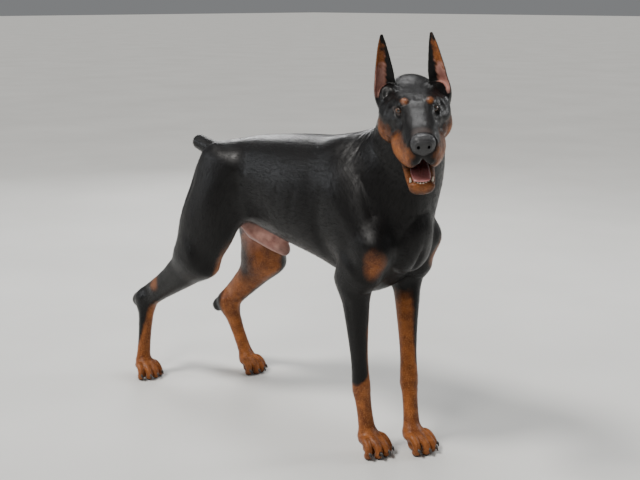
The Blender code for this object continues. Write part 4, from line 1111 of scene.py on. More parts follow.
class Lie:
    """For each point: the nearest line, the way along it, and the distances along and around it."""

    def __init__(self, points):
        count = len(points)
        self.gap = np.full(count, np.inf)
        self.second = np.full(count, np.inf)
        self.line = np.zeros(count, int)
        self.along = np.zeros(count)
        self.angle = np.zeros(count)
        self.radius = np.full(count, 0.05)
        total, weight = np.zeros((count, 3)), np.zeros(count)
        for index, (_, spots, radii) in enumerate(LINES):
            rows = smooth_rows(np.column_stack([spots, radii]), 14)
            low, high = rows[:, :3].min(0) - 0.16, rows[:, :3].max(0) + 0.16
            near = np.nonzero(((points > low) & (points < high)).all(1))[0]
            gap, along, way, angle, radius = self.measure(points[near], rows[:, :3], rows[:, 3])
            share = np.exp(-np.clip(gap, -0.05, 0.3) / 0.012) + 1e-12
            total[near] += way * share[:, None]
            weight[near] += share
            closer = gap < self.gap[near]
            self.second[near] = np.where(closer, self.gap[near], np.minimum(self.second[near], gap))
            near = near[closer]
            self.line[near] = index
            for name, value in (("gap", gap), ("along", along), ("angle", angle), ("radius", radius)):
                getattr(self, name)[near] = value[closer]
        self.way = unit(total / np.maximum(weight, 1e-9)[:, None] + 1e-9)
        self.fade = np.clip((self.second - self.gap) / 0.020, 0, 1)

    @staticmethod
    def measure(points, spots, radii):
        gap = np.full(len(points), np.inf)
        along, angle, radius = np.zeros(len(points)), np.zeros(len(points)), np.zeros(len(points))
        way = np.zeros((len(points), 3))
        start = 0.0
        for a, b, ra, rb in zip(spots, spots[1:], radii, radii[1:]):
            span = b - a
            length = float(np.linalg.norm(span))
            t = np.clip((points - a) @ span / length**2, 0, 1)
            off = points - a - t[:, None] * span
            here = np.linalg.norm(off, axis=1) - (ra + t * (rb - ra))
            closer = here < gap
            tangent = span / length
            up = np.array((0, 0, 1.0)) if abs(tangent[2]) < 0.8 else np.array((1.0, 0, 0))
            side = unit(np.cross(up, tangent))
            rise = np.cross(tangent, side)
            gap[closer] = here[closer]
            along[closer] = (start + t * length)[closer]
            angle[closer] = np.arctan2(off @ side, off @ rise)[closer]
            radius[closer] = (ra + t * (rb - ra))[closer]
            way[closer] = tangent
            start += length
        return gap, along, way, angle, radius


LINES = coat_lines()


# Markings


# The rust of the forearms: how far it turns to the front, its edge at three heights, and the shares
# of the way from the elbow to the wrist where it begins and where it goes all round
RUST_FRONT = {RIGHT: 0.0, LEFT: -0.17}
RUST_EDGE = {RIGHT: (0.60, 0.30, 0.25), LEFT: (0.45, 0.15, -0.35)}
RUST_TOP = {RIGHT: 0.24, LEFT: 0.16}
RUST_FULL = {RIGHT: 0.93, LEFT: 0.90}


def soft_ball(points, centre, radii, edge):
    """1 inside an ellipsoid, fading to 0 over a share of its size."""
    ratio = np.sqrt((((points - np.array(centre)) / np.array(radii)) ** 2).sum(1))
    return np.clip((1 + edge / 2 - ratio) / edge, 0, 1)


def waver(points, size, seed):
    """Smooth noise about 0, from sums of waves in set directions."""
    rng = np.random.default_rng(seed)
    total = np.zeros(len(points))
    for _ in range(9):
        way = unit(rng.normal(size=3))
        total += np.sin(points @ way * (2 * math.pi / (size * rng.uniform(0.6, 1.6))) + rng.uniform(0, 6.28))
    return total / 9


def face_rust(spots):
    """The rust of the face: brow spots, cheeks, the sides of the muzzle, the lips and the throat."""
    rough = waver(spots, 0.012, 4) * 0.30 + waver(spots, 0.004, 5) * 0.30
    found = np.zeros(len(spots))
    for s in (RIGHT, LEFT):
        brow = soft_ball(spots, (0.0135, s * 0.0250, 0.0230), (0.012, 0.0065, 0.0068), 0.9)
        muzzle = soft_ball(spots, (0.064, s * 0.048, -0.070), (0.060, 0.026, 0.034), 0.8)
        flew = soft_ball(spots, (0.104, s * 0.036, -0.070), (0.028, 0.019, 0.026), 0.8)
        cheek = soft_ball(spots, (-0.030, s * 0.074, -0.058), (0.046, 0.024, 0.028), 0.8)
        found = np.maximum.reduce([found, brow * 0.75, muzzle * 0.95, flew * 0.9, cheek * 0.75])
    jaw = soft_ball(spots, jaw_place(0.020, 0, -0.112), (0.105, 0.046, 0.022), 0.5)
    found = np.maximum(found, jaw * 0.9)
    return np.clip(found + rough * (found > 0.03), 0, 1)


def body_rust(points):
    """The rust of the chest, legs, feet, inner thighs and under the tail."""
    rough = waver(points, 0.03, 1) * 0.16 + waver(points, 0.010, 2) * 0.10
    found = np.zeros(len(points))
    for s in (RIGHT, LEFT):
        patch = soft_ball(points, (0.104, s * 0.104, 0.446), (0.020, 0.020, 0.036), 0.9)
        found = np.maximum(found, np.clip(patch * 1.05 + rough * (patch > 0.05), 0, 0.9))
        found = np.maximum(found, front_leg_rust(points, s, rough))
        found = np.maximum(found, hind_leg_rust(points, s, rough))
    found = np.maximum(found, soft_ball(points, (-0.560, 0, 0.560), (0.040, 0.026, 0.040), 0.6))
    return np.clip(found, 0, 1)


def front_leg_rust(points, s, rough):
    """All of the foot and pastern, then up the inside of the forearm, round to the front lower down."""
    t, off = beside(points, *joints_of(FRONT_JOINTS, s, "elbow carpus"))
    near = np.linalg.norm(off, axis=1) < 0.070
    wide = np.maximum(np.linalg.norm(off[:, :2], axis=1), 0.006)
    facing = (-s * off[:, 1] + RUST_FRONT[s] * off[:, 0]) / wide
    edge = np.interp(t, (0.0, 0.45, RUST_FULL[s] - 0.06, RUST_FULL[s] + 0.05), (*RUST_EDGE[s], -1.4))
    side = np.clip(0.5 + 2.6 * (facing - edge) + 3 * rough, 0, 1)
    climb = np.clip((t - RUST_TOP[s]) / 0.12 + 2 * rough, 0, 1)
    return side * climb * near * (points[:, 2] < 0.42)


def hind_leg_rust(points, s, rough):
    """The foot, the front of the pastern and hock, and the inside of the thigh and leg."""
    knee, hock, fetlock = joints_of(HIND_JOINTS, s, "knee hock fetlock")
    side = points[:, 1] * s > 0.005
    behind = points[:, 0] < -0.33
    t, off = beside(points, knee, hock)
    upper = np.linalg.norm(off, axis=1) < 0.090
    inward = -s * off[:, 1] / 0.030
    inside = np.clip(0.5 + 1.8 * (inward - 0.25) + 3 * rough, 0, 1) * np.clip((t + 0.45) / 0.25, 0, 1) * upper
    inside = inside * np.clip((1.02 - t) / 0.08, 0, 1)
    behind_knee = between(knee, hock, 0.20) + (-0.020, -s * 0.03, 0.020)
    # less rust, so black coat, in a patch on the inside behind the knee
    no_rust_behind_knee = soft_ball(points, behind_knee, (0.040, 0.034, 0.055), 0.9)
    tip = soft_ball(points, hock + (-0.030, 0, 0.0), (0.034, 0.04, 0.034), 0.5)
    inside = inside * (1 - 0.9 * no_rust_behind_knee)
    u, away = beside(points, hock, fetlock)
    lower = (np.linalg.norm(away, axis=1) < 0.060) & (u > -0.35)
    wide = np.maximum(np.linalg.norm(away[:, :2], axis=1), 0.006)
    facing = (0.62 * away[:, 0] - 0.78 * s * away[:, 1]) / wide
    edge = np.interp(u, (-0.30, 0.0, 0.30, 0.60, 0.95), (0.85, 0.55, 0.10, -0.55, -1.4))
    shank = np.clip(0.5 + 2.4 * (facing - edge) + 3 * rough, 0, 1) * np.clip((u + 0.30) / 0.20 + rough, 0, 1)
    above_hock = between(knee, hock, 0.68) + (-0.012, s * 0.022, 0.016)
    patch = soft_ball(points, above_hock, (0.020, 0.014, 0.018), 0.8)
    found = np.maximum.reduce([inside, shank * lower, 0.7 * patch]) * (1 - 0.95 * tip)
    return found * side * behind


def markings(points):
    """The shares of rust, pink skin, bare dark skin, grey rims, lips, mouth lining and pads at each point."""
    spots = to_head(points)
    on_head = np.linalg.norm(spots - (0.0, 0, 0.0), axis=1) < 0.26
    rust = np.where(on_head & (spots[:, 0] > -0.10), face_rust(spots), body_rust(points))
    pink, dark, lids = (np.zeros(len(points)) for _ in range(3))
    for s in (RIGHT, LEFT):
        ear_pink, ear_rust = ear_colours(spots, s)
        pink, rust = np.maximum(pink, ear_pink), np.maximum(rust, ear_rust)
        near = np.linalg.norm(spots - eye_centre(s), axis=1) < 0.020
        dark = np.maximum(dark, np.clip((1.06 - lid_share(spots, s)) / 0.06, 0, 1) * near)
        rim = np.clip((1.30 - lid_share(spots, s)) / 0.10, 0, 1) * near * 0.8
        lids = np.maximum(lids, rim)
    belly = np.maximum(soft_ball(points, (-0.350, 0, 0.425), (0.085, 0.034, 0.060), 0.35),
                       soft_ball(points, (-0.420, 0, 0.440), (0.065, 0.050, 0.060), 0.5))
    groin = np.maximum(*(soft_ball(points, (-0.460, s * 0.040, 0.415), (0.050, 0.020, 0.050), 0.7)
                         for s in (RIGHT, LEFT)))
    patchy = np.clip(0.95 + waver(points, 0.03, 8) * 0.6, 0, 1)
    pink = np.maximum(pink, np.maximum(belly, groin * 0.6) * patchy)
    lining = np.clip(1 - (mouth_form().distance(spots) - 0.0002) / 0.0012, 0, 1) * on_head
    lips = np.clip(1 - (mouth_form().distance(spots) - 0.0035) / 0.0020, 0, 1) * on_head
    front = soft_ball(spots, (0.118, 0, -0.070), (0.020, 0.026, 0.014), 0.5)
    dark = np.maximum(dark, front * (lips > 0))
    lips = lips * (1 - 0.8 * front)
    nose = np.clip(1 - (depth_of(spots, nose_forms()) - 0.0010) / 0.0015, 0, 1) * on_head
    dark = np.maximum(dark, nose)
    rust = rust * (1 - front)
    pad = np.clip((0.0060 - points[:, 2]) / 0.003, 0, 1)
    grey = np.maximum(lids, soft_ball(spots, (0.108, 0, -0.014), (0.014, 0.018, 0.009), 0.8) * 0.8)
    return {"rust": rust, "pink": pink, "dark": dark, "grey": grey, "lips": lips, "lining": lining,
            "pad": pad}


def ear_colours(spots, s):
    """The pink and the rust inside the cup. It stays black at the tip and along the inner edge."""
    shell = ear_shell(s)
    off = spots - shell.root
    height, out, back = off @ shell.up, off @ shell.out, off @ shell.back
    middle, half, cup, thick, lean = shell.at(height)
    across = (out - middle) / half
    front = back - (cup * (1 - across**2) + lean)
    inside = np.clip(-front / (thick * 0.5), 0, 1)
    inside = inside * (np.abs(across) < 1.1) * (height > -0.010) * (front > -0.012)
    share = height / shell.length
    rough = waver(spots, 0.010, 11) * 0.25
    band = np.clip((across + 0.30 + share * 0.25 + rough) / 0.30, 0, 1)
    pink = inside * band * np.clip((0.52 - share + rough) / 0.16, 0, 1) * np.clip((share + 0.12) / 0.12, 0, 1)
    rust = inside * band * np.clip((0.90 - share + rough) / 0.12, 0, 1) * np.clip((share - 0.05) / 0.1, 0, 1)
    return pink, rust


def set_marks(target, marks):
    """Keeps each share on the mesh's points, by name, for the materials."""
    for name, value in marks.items():
        layer = target.data.attributes.new(name, "FLOAT", "POINT")
        layer.data.foreach_set("value", np.asarray(value, np.float32))


# The short coat

# The piece that the hair along each line belongs to, and its length
COAT = {
    "trunk": ("coat_trunk", 0.0110), "tail": ("coat_trunk", 0.0100), "neck": ("coat_neck", 0.0100),
    "head": ("coat_head", 0.0045), "chin": ("coat_head", 0.0045), "ear": ("coat_head", 0.0050),
    "front": ("coat_front_legs", 0.0075), "hind": ("coat_hind_legs", 0.0090),
}


def scattered(skin, count, seed):
    """Points spread over the skin, closer together on the head, with their normals."""
    mesh = skin.data
    mesh.calc_loop_triangles()
    corners = np.empty(len(mesh.loop_triangles) * 3, np.int32)
    mesh.loop_triangles.foreach_get("vertices", corners)
    corners = corners.reshape(-1, 3)
    points, normals = vectors(skin, "co"), vectors(skin, "normal")
    a, b, c = (points[corners[:, i]] for i in range(3))
    area = np.linalg.norm(np.cross(b - a, c - a), axis=1)
    rng = np.random.default_rng(seed)
    near = to_head((a + b + c) / 3)
    weight = area * np.where(np.linalg.norm(near, axis=1) < 0.17, 2.2, 1.0)
    chosen = rng.choice(len(area), size=count, p=weight / weight.sum())
    u, v = rng.random(count), rng.random(count)
    over = u + v > 1
    u[over], v[over] = 1 - u[over], 1 - v[over]
    share = np.stack([1 - u - v, u, v], axis=1)[:, :, None]
    spots = (points[corners[chosen]] * share).sum(1)
    ways = unit((normals[corners[chosen]] * share).sum(1))
    return spots, ways, rng


def unwrapped(lie):
    """A place on the unwrap of the skin: a band for each line, along it and around it."""
    heights = np.array([max(radii) for _, _, radii in LINES])
    tops = np.concatenate([[0], np.cumsum(heights / heights.sum())])
    u = 0.01 + 0.97 * np.clip(lie.along / LONGEST_LINE, 0, 1)
    share = (lie.angle / (2 * math.pi) + 0.5) * 0.94 + 0.03
    v = tops[lie.line] + share * (tops[lie.line + 1] - tops[lie.line])
    return np.stack([u, v], axis=1)


def make_coat(skin):
    """Tufts in pieces by part of the body. Each tuft is a three-sided blade that lies along the coat."""
    spots, normals, rng = scattered(skin, TUFTS, 21)
    marks = markings(spots)
    bare = (marks["dark"] > 0.3) | (marks["lips"] > 0.5) | (marks["pad"] > 0.2) | (marks["lining"] > 0.2)
    bare |= (marks["pink"] > 0.5) & (rng.random(len(spots)) < 0.8)
    near = to_head(spots)
    bare |= (mouth_form().distance(near) < 0.006) | (depth_of(near, tongue_forms()) < 0.008)
    keep = ~bare & (spots[:, 2] > 0.006) & (near[:, 2] < 0.120)
    spots, normals = spots[keep], normals[keep]
    marks = {name: value[keep] for name, value in marks.items()}
    lie = Lie(spots)
    kinds = [COAT[LINES[i][0].split("_")[0]] for i in lie.line]
    groups, lengths = (np.array(values) for values in zip(*kinds))
    made = []
    for group in sorted(set(groups)):
        pick = groups == group
        values = {name: value[pick] for name, value in marks.items()}
        made.append(tufts(group, spots[pick], normals[pick], lie.way[pick], lengths[pick],
                          unwrapped(lie)[pick], values, rng))
    return made


def tufts(name, roots, normals, ways, lengths, places, marks, rng):
    """One piece of coat. Each tuft has the skin's colours and its own small place on the unwrap."""
    count = len(roots)
    along = unit(ways - (ways * normals).sum(1, keepdims=True) * normals)
    turn = rng.normal(0, 0.16, count)[:, None]
    across = np.cross(normals, along)
    along, across = along * np.cos(turn) + across * np.sin(turn), across * np.cos(turn) - along * np.sin(turn)
    length = (lengths * rng.uniform(0.7, 1.25, count))[:, None]
    width = length * TUFT_WIDTH
    lift = rng.uniform(0.5, 1.1, count)[:, None] * COAT_DEPTH
    rings = []
    for share, wide, rise in ((0.0, 0.8, -0.4), (0.45, 1.0, 0.75)):
        centre = roots + along * length * share + normals * lift * rise
        rings.append([centre + across * width * wide, centre - across * width * wide,
                      centre + normals * width * 0.5])
    tip = roots + along * length + normals * lift * 1.0
    points = np.stack(rings[0] + rings[1] + [tip], axis=1).reshape(-1, 3)
    points[:, 2] = np.maximum(points[:, 2], 0.0005)
    base = (np.arange(count) * 7)[:, None]
    quads = np.array([(0, 3, 5, 2), (2, 5, 4, 1), (1, 4, 3, 0)])
    tips = np.array([(3, 6, 5), (5, 6, 4), (4, 6, 3)])
    mesh = bpy.data.meshes.new(name)
    faces = [tuple(row) for row in (base[:, None] + quads).reshape(-1, 4).tolist()]
    faces += [tuple(row) for row in (base[:, None] + tips).reshape(-1, 3).tolist()]
    mesh.from_pydata(points.tolist(), [], faces)
    made = bpy.data.objects.new(name, mesh)
    bpy.context.scene.collection.objects.link(made)
    set_marks(made, {key: np.repeat(value, 7) for key, value in marks.items()})
    set_marks(made, {"shade": np.repeat(rng.random(count), 7)})
    spread = np.array([(-1, -1), (0, -1), (1, -1), (-1, 0), (0, 0), (1, 0), (0, 1)]) * 0.0014
    around = (places[:, None] + spread).reshape(-1, 2)
    corner = np.empty(len(mesh.loops), np.int32)
    mesh.loops.foreach_get("vertex_index", corner)
    layer = mesh.uv_layers.new(name="OFBake")
    layer.data.foreach_set("uv", around[corner].astype(np.float32).ravel())
    mesh.shade_smooth()
    return made


# Materials


class Shader:
    """A material's node tree, with short ways to add and link nodes."""

    def __init__(self, name):
        self.material = bpy.data.materials.new(name)
        self.material.use_nodes = True
        self.nodes, self.links = self.material.node_tree.nodes, self.material.node_tree.links
        self.surface = self.nodes["Principled BSDF"]

    def add(self, kind, inputs=(), **settings):
        node = self.nodes.new(kind)
        for key, value in settings.items():
            setattr(node, key, value)
        for key, value in dict(inputs).items():
            self.put(node.inputs[key], value)
        return node

    def put(self, socket, value):
        if isinstance(value, bpy.types.NodeSocket):
            self.links.new(value, socket)
        elif isinstance(value, tuple) and len(value) == 3 and len(socket.default_value) == 4:
            socket.default_value = (*value, 1.0)
        else:
            socket.default_value = value

    def mark(self, name):
        return self.add("ShaderNodeAttribute", attribute_name=name).outputs["Fac"]

    def mix(self, share, a, b):
        node = self.add("ShaderNodeMix", data_type="RGBA")
        for index, value in ((0, share), (6, a), (7, b)):
            self.put(node.inputs[index], value)
        return node.outputs[2]

    def maths(self, operation, a, b=0.0, c=0.0):
        node = self.add("ShaderNodeMath", operation=operation)
        for socket, value in zip(node.inputs, (a, b, c)):
            self.put(socket, value)
        return node.outputs[0]

    def noise(self, scale, detail=4.0, vector=None, rough=0.55):
        node = self.add("ShaderNodeTexNoise", {"Scale": scale, "Detail": detail, "Roughness": rough})
        if vector is not None:
            self.put(node.inputs["Vector"], vector)
        return node.outputs["Fac"]

    def spread(self, value, low, high, to_low=0.0, to_high=1.0):
        inputs = {"Value": value, "From Min": low, "From Max": high, "To Min": to_low, "To Max": to_high}
        return self.add("ShaderNodeMapRange", inputs).outputs["Result"]

    def bump(self, height, distance, strength=1.0, normal=None):
        inputs = {"Height": height, "Distance": distance, "Strength": strength}
        node = self.add("ShaderNodeBump", inputs)
        if normal is not None:
            self.put(node.inputs["Normal"], normal)
        return node.outputs["Normal"]

    def along_coat(self, scales, detail, roughness):
        """Noise that is stretched along the lie of the coat."""
        lie = self.add("ShaderNodeAttribute", attribute_name="lie").outputs["Vector"]
        stretched = self.add("ShaderNodeVectorMath", operation="MULTIPLY")
        self.put(stretched.inputs[0], lie)
        stretched.inputs[1].default_value = scales
        return self.noise(1.0, detail, stretched.outputs[0], roughness)

    def position(self):
        return self.add("ShaderNodeTexCoord").outputs["Object"]

    def finish(self, **values):
        for key, value in values.items():
            self.put(self.surface.inputs[key.replace("_", " ")], value)
        return self.material


BLACK, BLACK_TIP = (0.0030, 0.0028, 0.0030), (0.0070, 0.0064, 0.0062)
RUST, RUST_DEEP, RUST_PALE = (0.270, 0.086, 0.021), (0.110, 0.030, 0.009), (0.42, 0.175, 0.062)
PINK, PINK_DEEP = (0.50, 0.27, 0.22), (0.30, 0.135, 0.11)
BARE, LIP, LINING = (0.008, 0.007, 0.008), (0.10, 0.055, 0.052), (0.16, 0.035, 0.032)
GREY = (0.060, 0.045, 0.040)


def coat_colour(shader):
    """The colour shared by skin and coat: black, rust, pink skin and bare dark skin."""
    position = shader.position()
    cloud = shader.noise(38.0, 3.0, position)
    fine = shader.noise(420.0, 3.0, position)
    black = shader.mix(shader.spread(fine, 0.35, 0.75), BLACK, BLACK_TIP)
    rust = shader.mix(shader.spread(cloud, 0.35, 0.65), RUST_DEEP, RUST)
    rust = shader.mix(shader.spread(fine, 0.50, 0.80), rust, RUST_PALE)
    pink = shader.mix(shader.spread(cloud, 0.35, 0.65), PINK_DEEP, PINK)
    colour = shader.mix(shader.mark("rust"), black, rust)
    colour = shader.mix(shader.mark("grey"), colour, GREY)
    return shader.mix(shader.mark("pink"), colour, pink)


def skin_material():
    shader = Shader("dog_skin")
    colour = coat_colour(shader)
    position = shader.position()
    strands = shader.along_coat((70.0, 900.0, 1.0), 4.0, 0.65)
    locks = shader.along_coat((28.0, 150.0, 1.0), 3.0, 0.5)
    colour = shader.mix(shader.mark("dark"), colour, BARE)
    colour = shader.mix(shader.mark("lips"), colour, LIP)
    colour = shader.mix(shader.mark("lining"), colour, LINING)
    colour = shader.mix(shader.mark("pad"), colour, BARE)
    bare = shader.maths("MAXIMUM", shader.mark("dark"), shader.mark("lips"))
    bare = shader.maths("MAXIMUM", bare, shader.mark("lining"))
    fur = shader.maths("SUBTRACT", 1.0, bare)
    thin, wide = shader.maths("MULTIPLY", strands, 0.45), shader.maths("MULTIPLY", locks, 0.55)
    height = shader.maths("ADD", thin, wide)
    height = shader.maths("MULTIPLY", shader.maths("MULTIPLY", height, fur), shader.mark("fade"))
    grain = shader.noise(900.0, 2.0, position)
    normal = shader.bump(height, 0.0016, 0.55)
    normal = shader.bump(shader.maths("MULTIPLY", grain, bare), 0.0004, 0.4, normal)
    rough = shader.spread(strands, 0.3, 0.7, 0.26, 0.44)
    rough = shader.maths("SUBTRACT", rough, shader.maths("MULTIPLY", shader.mark("lining"), 0.15))
    return shader.finish(Base_Color=colour, Roughness=rough, Normal=normal, Specular_IOR_Level=0.20)


def fur_material():
    shader = Shader("dog_coat")
    colour = coat_colour(shader)
    shade = shader.mark("shade")
    tips = shader.mix(shader.mark("rust"), BLACK_TIP, RUST_PALE)
    colour = shader.mix(shader.spread(shade, 0.0, 1.0, 0.0, 0.35), colour, tips)
    rough = shader.spread(shade, 0.0, 1.0, 0.28, 0.45)
    return shader.finish(Base_Color=colour, Roughness=rough, Specular_IOR_Level=0.20)


def nose_material():
    shader = Shader("nose_skin")
    position = shader.position()
    inputs = {"Scale": 620.0, "Vector": position}
    pebbles = shader.add("ShaderNodeTexVoronoi", inputs, feature="DISTANCE_TO_EDGE")
    grain = shader.spread(pebbles.outputs["Distance"], 0.0, 0.35)
    # painted shade: the colour is darker in the grooves between the pebbles
    colour = shader.mix(grain, (0.004, 0.004, 0.005), (0.020, 0.020, 0.023))
    normal = shader.bump(grain, 0.0006, 0.7)
    rough = shader.spread(grain, 0.0, 1.0, 0.55, 0.34)
    return shader.finish(Base_Color=colour, Roughness=rough, Normal=normal, Coat_Weight=0.25,
                         Coat_Roughness=0.25)


def tongue_material():
    shader = Shader("tongue_flesh")
    position = shader.position()
    grain = shader.noise(700.0, 3.0, position)
    cloud = shader.noise(60.0, 3.0, position)
    colour = shader.mix(shader.spread(cloud, 0.3, 0.7), (0.42, 0.13, 0.13), (0.60, 0.25, 0.24))
    # painted shade: the tongue turns near black towards the back of the mouth
    colour = shader.mix(shader.mark("deep"), colour, (0.050, 0.010, 0.010))
    normal = shader.bump(grain, 0.0005, 0.5)
    rough = shader.spread(grain, 0.3, 0.7, 0.22, 0.40)
    return shader.finish(Base_Color=colour, Roughness=rough, Normal=normal, Subsurface_Weight=0.15,
                         Subsurface_Scale=0.004, Coat_Weight=0.3, Coat_Roughness=0.15)


def horn_material(name, dark, pale):
    shader = Shader(name)
    streaks = shader.noise(160.0, 4.0, shader.position())
    colour = shader.mix(shader.spread(streaks, 0.35, 0.7), dark, pale)
    normal = shader.bump(streaks, 0.0004, 0.4)
    rough = shader.spread(streaks, 0.3, 0.7, 0.28, 0.42)
    return shader.finish(Base_Color=colour, Roughness=rough, Normal=normal)


def eye_material():
    """Rings about the axis of the eye: pupil, brown iris, dark rim and the white, veined at its edge."""
    shader = Shader("eye_surface")
    spot = shader.add("ShaderNodeSeparateXYZ")
    position = shader.position()
    shader.put(spot.inputs[0], position)
    aside, above = (shader.maths("POWER", spot.outputs[index], 2.0) for index in (1, 2))
    ring = shader.maths("SQRT", shader.maths("ADD", aside, above))
    rays = shader.noise(900.0, 3.0, position)
    iris = shader.mix(shader.spread(rays, 0.3, 0.7), (0.050, 0.018, 0.006), (0.130, 0.055, 0.020))
    iris = shader.mix(shader.spread(ring, PUPIL, IRIS, 0.0, 0.55), iris, (0.020, 0.009, 0.005))
    veins = shader.spread(shader.noise(300.0, 4.0, position), 0.5, 0.75)
    white = shader.mix(veins, (0.42, 0.34, 0.30), (0.30, 0.12, 0.10))
    colour = shader.mix(shader.spread(ring, PUPIL - 0.0003, PUPIL + 0.0003), (0.002, 0.002, 0.002), iris)
    colour = shader.mix(shader.spread(ring, IRIS - 0.0003, IRIS + 0.0006), colour, white)
    return shader.finish(Base_Color=colour, Roughness=0.22, Coat_Weight=1.0, Coat_Roughness=0.02,
                         Coat_IOR=1.376)


# Separate pieces


def finish_piece(piece, material, slot, *nodes):
    """Gives a piece its material and hides the parts that it replaces. The slot is not used."""
    piece.data.materials.clear()
    piece.data.materials.append(material)
    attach(piece, "root")
    if nodes:
        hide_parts(*nodes)


def make_eye(word, s):
    """An eyeball with a bulging cornea, its own x axis along its look."""
    mesh = bmesh.new()
    bmesh.ops.create_uvsphere(mesh, u_segments=64, v_segments=40, radius=EYE_RADIUS)
    for vertex in mesh.verts:
        point = vertex.co
        ahead = point.z / EYE_RADIUS
        bulge = max(0.0, (ahead - CORNEA) / (1 - CORNEA))
        vertex.co = point * (1 + CORNEA_RISE * (1 - (1 - bulge) ** 2))
    turn = Matrix(((0, 0, 1), (1, 0, 0), (0, 1, 0))).to_4x4()
    mesh.transform(turn)
    eye = new_object(f"eyeball_{word}", mesh)
    eye.data.shade_smooth()
    look = eye_axes(s)[0] + np.array((0.0, EYE_AIM[s], 0.0))
    ahead = Vector(unit(look))
    left = Vector((0, 0, 1)).cross(ahead).normalized()
    axes = Matrix((ahead, left, ahead.cross(left))).transposed().to_4x4()
    centre = Vector(eye_centre(s) + eye_axes(s)[0] * EYE_AHEAD)
    eye.matrix_world = Matrix.Translation(ORIGIN_SHIFT) @ head_matrix() @ Matrix.Translation(centre) @ axes
    return eye


def detailed(name, forms, voxel):
    """A small solid from forms in the head's axes."""
    reach = np.array([form.reach() for kind, form in forms if kind == "add"])
    place = head_matrix()
    sides = zip(reach[:, 0].min(axis=0), reach[:, 1].max(axis=0))
    low, high = box_of([place @ Vector(spot) for spot in itertools.product(*sides)], 0.004)
    piece = settled(name, in_head(forms), low, high, voxel, place @ Vector(reach.mean((0, 1))))
    piece.data.shade_smooth()
    piece.data.transform(Matrix.Translation(ORIGIN_SHIFT))
    return piece


def in_head(forms):
    def depth(points):
        return depth_of(to_head(points), forms)
    return depth


def make_claws():
    """The claws of the four feet, smooth and curved."""
    found = []
    for fetlock, heading, size in paws():
        at, _ = paw_frame(fetlock, heading, size)
        for aside, reach, fan in TOES:
            turned = aside + fan * 0.07
            line = [(reach - 0.004, turned, 0.0170), (reach + 0.0065, turned, 0.0168),
                    (reach + 0.0108, turned, 0.0135), (reach + 0.0130, turned, 0.0090)]
            rows = [(*at(*place), r * 0.85, r * 1.10, r * 1.10)
                    for place, r in zip(line, (0.0040, 0.0036, 0.0027, 0.0007))]
            found.append(lofted("claw", rows, 5, 14))
    claws = join(found, "claws")
    claws.data.transform(Matrix.Translation(ORIGIN_SHIFT))
    claws.data.shade_smooth()
    return claws


def lofted(name, rows, spans, around):
    mesh = bmesh.new()
    Loft(rows, spans=spans, cap=0.001).add_mesh(mesh, around=around)
    return new_object(name, mesh)


def make_teeth():
    """The lower canines and the small incisors between them."""
    found = []
    for s in (RIGHT, LEFT):
        rows = [(*jaw_place(0.084, s * 0.0205, -0.0900), 0.0025, 0.0030, 0.0030),
                (*jaw_place(0.0858, s * 0.0210, -0.0840), 0.0022, 0.0026, 0.0026),
                (*jaw_place(0.0858, s * 0.0215, -0.0805), 0.0014, 0.0017, 0.0017),
                (*jaw_place(0.0850, s * 0.0219, -0.0780), 0.0005, 0.0005, 0.0005)]
        found.append(lofted("tooth", rows, 5, 14))
        for index in range(3):
            aside = s * (0.0028 + 0.0052 * index)
            ahead = 0.0935 - 0.0014 * index**2
            rows = [(*jaw_place(ahead - 0.001, aside, -0.0900), 0.0022, 0.0016, 0.0016),
                    (*jaw_place(ahead, aside, -0.0865), 0.0022, 0.0015, 0.0015),
                    (*jaw_place(ahead, aside, -0.0842), 0.0016, 0.0008, 0.0008)]
            found.append(lofted("tooth", rows, 3, 10))
    teeth = join(found, "teeth")
    teeth.data.transform(Matrix.Translation(ORIGIN_SHIFT) @ head_matrix())
    teeth.data.shade_smooth()
    return teeth


# Floor, light and camera


def make_floor():
    mesh = bmesh.new()
    bmesh.ops.create_grid(mesh, x_segments=1, y_segments=1, size=FLOOR_SIZE)
    floor = new_object("floor", mesh)
    shader = Shader("floor_paint")
    cloud = shader.noise(1.5, 3.0, shader.position())
    colour = shader.mix(shader.spread(cloud, 0.3, 0.7), (0.62, 0.62, 0.60), (0.68, 0.68, 0.66))
    floor.data.materials.append(shader.finish(Base_Color=colour, Roughness=0.8))


def area_light(name, place, target, size, power, colour=(1, 1, 1)):
    data = bpy.data.lights.new(name, "AREA")
    data.shape, data.size, data.size_y = "RECTANGLE", size[0], size[1]
    data.energy, data.color = power, colour
    light = bpy.data.objects.new(name, data)
    light.location = place
    light.rotation_euler = (Vector(target) - Vector(place)).to_track_quat("-Z", "Y").to_euler()
    bpy.context.scene.collection.objects.link(light)


def make_lights():
    middle = (0.0, 0.0, 0.5)
    sun = bpy.data.lights.new("sun", "SUN")
    sun.energy, sun.angle, sun.color = 2.7, math.radians(14), (1.0, 0.97, 0.93)
    lamp = bpy.data.objects.new("sun", sun)
    lamp.rotation_euler = Vector((0.35, 0.75, -1.25)).to_track_quat("-Z", "Y").to_euler()
    bpy.context.scene.collection.objects.link(lamp)
    area_light("key_light", (0.6, -2.6, 2.6), middle, (0.9, 0.9), 42.0, (1.0, 0.97, 0.93))
    area_light("top_light", (-0.7, 0.7, 3.2), (-0.1, 0, 0.4), (1.2, 0.7), 40.0)
    area_light("side_light", (-3.0, -1.9, 1.6), (-0.3, 0, 0.5), (0.5, 1.6), 26.0, (0.92, 0.96, 1.0))
    area_light("rim_light", (1.4, 2.8, 1.9), (0.1, 0, 0.6), (0.7, 1.4), 36.0)
    area_light("back_light", (-2.8, 2.0, 1.8), middle, (0.7, 1.4), 28.0)
    world = bpy.data.worlds.new("studio_air")
    world.use_nodes = True
    world.node_tree.nodes["Background"].inputs["Color"].default_value = (0.86, 0.88, 0.90, 1)
    world.node_tree.nodes["Background"].inputs["Strength"].default_value = 0.24
    bpy.context.scene.world = world


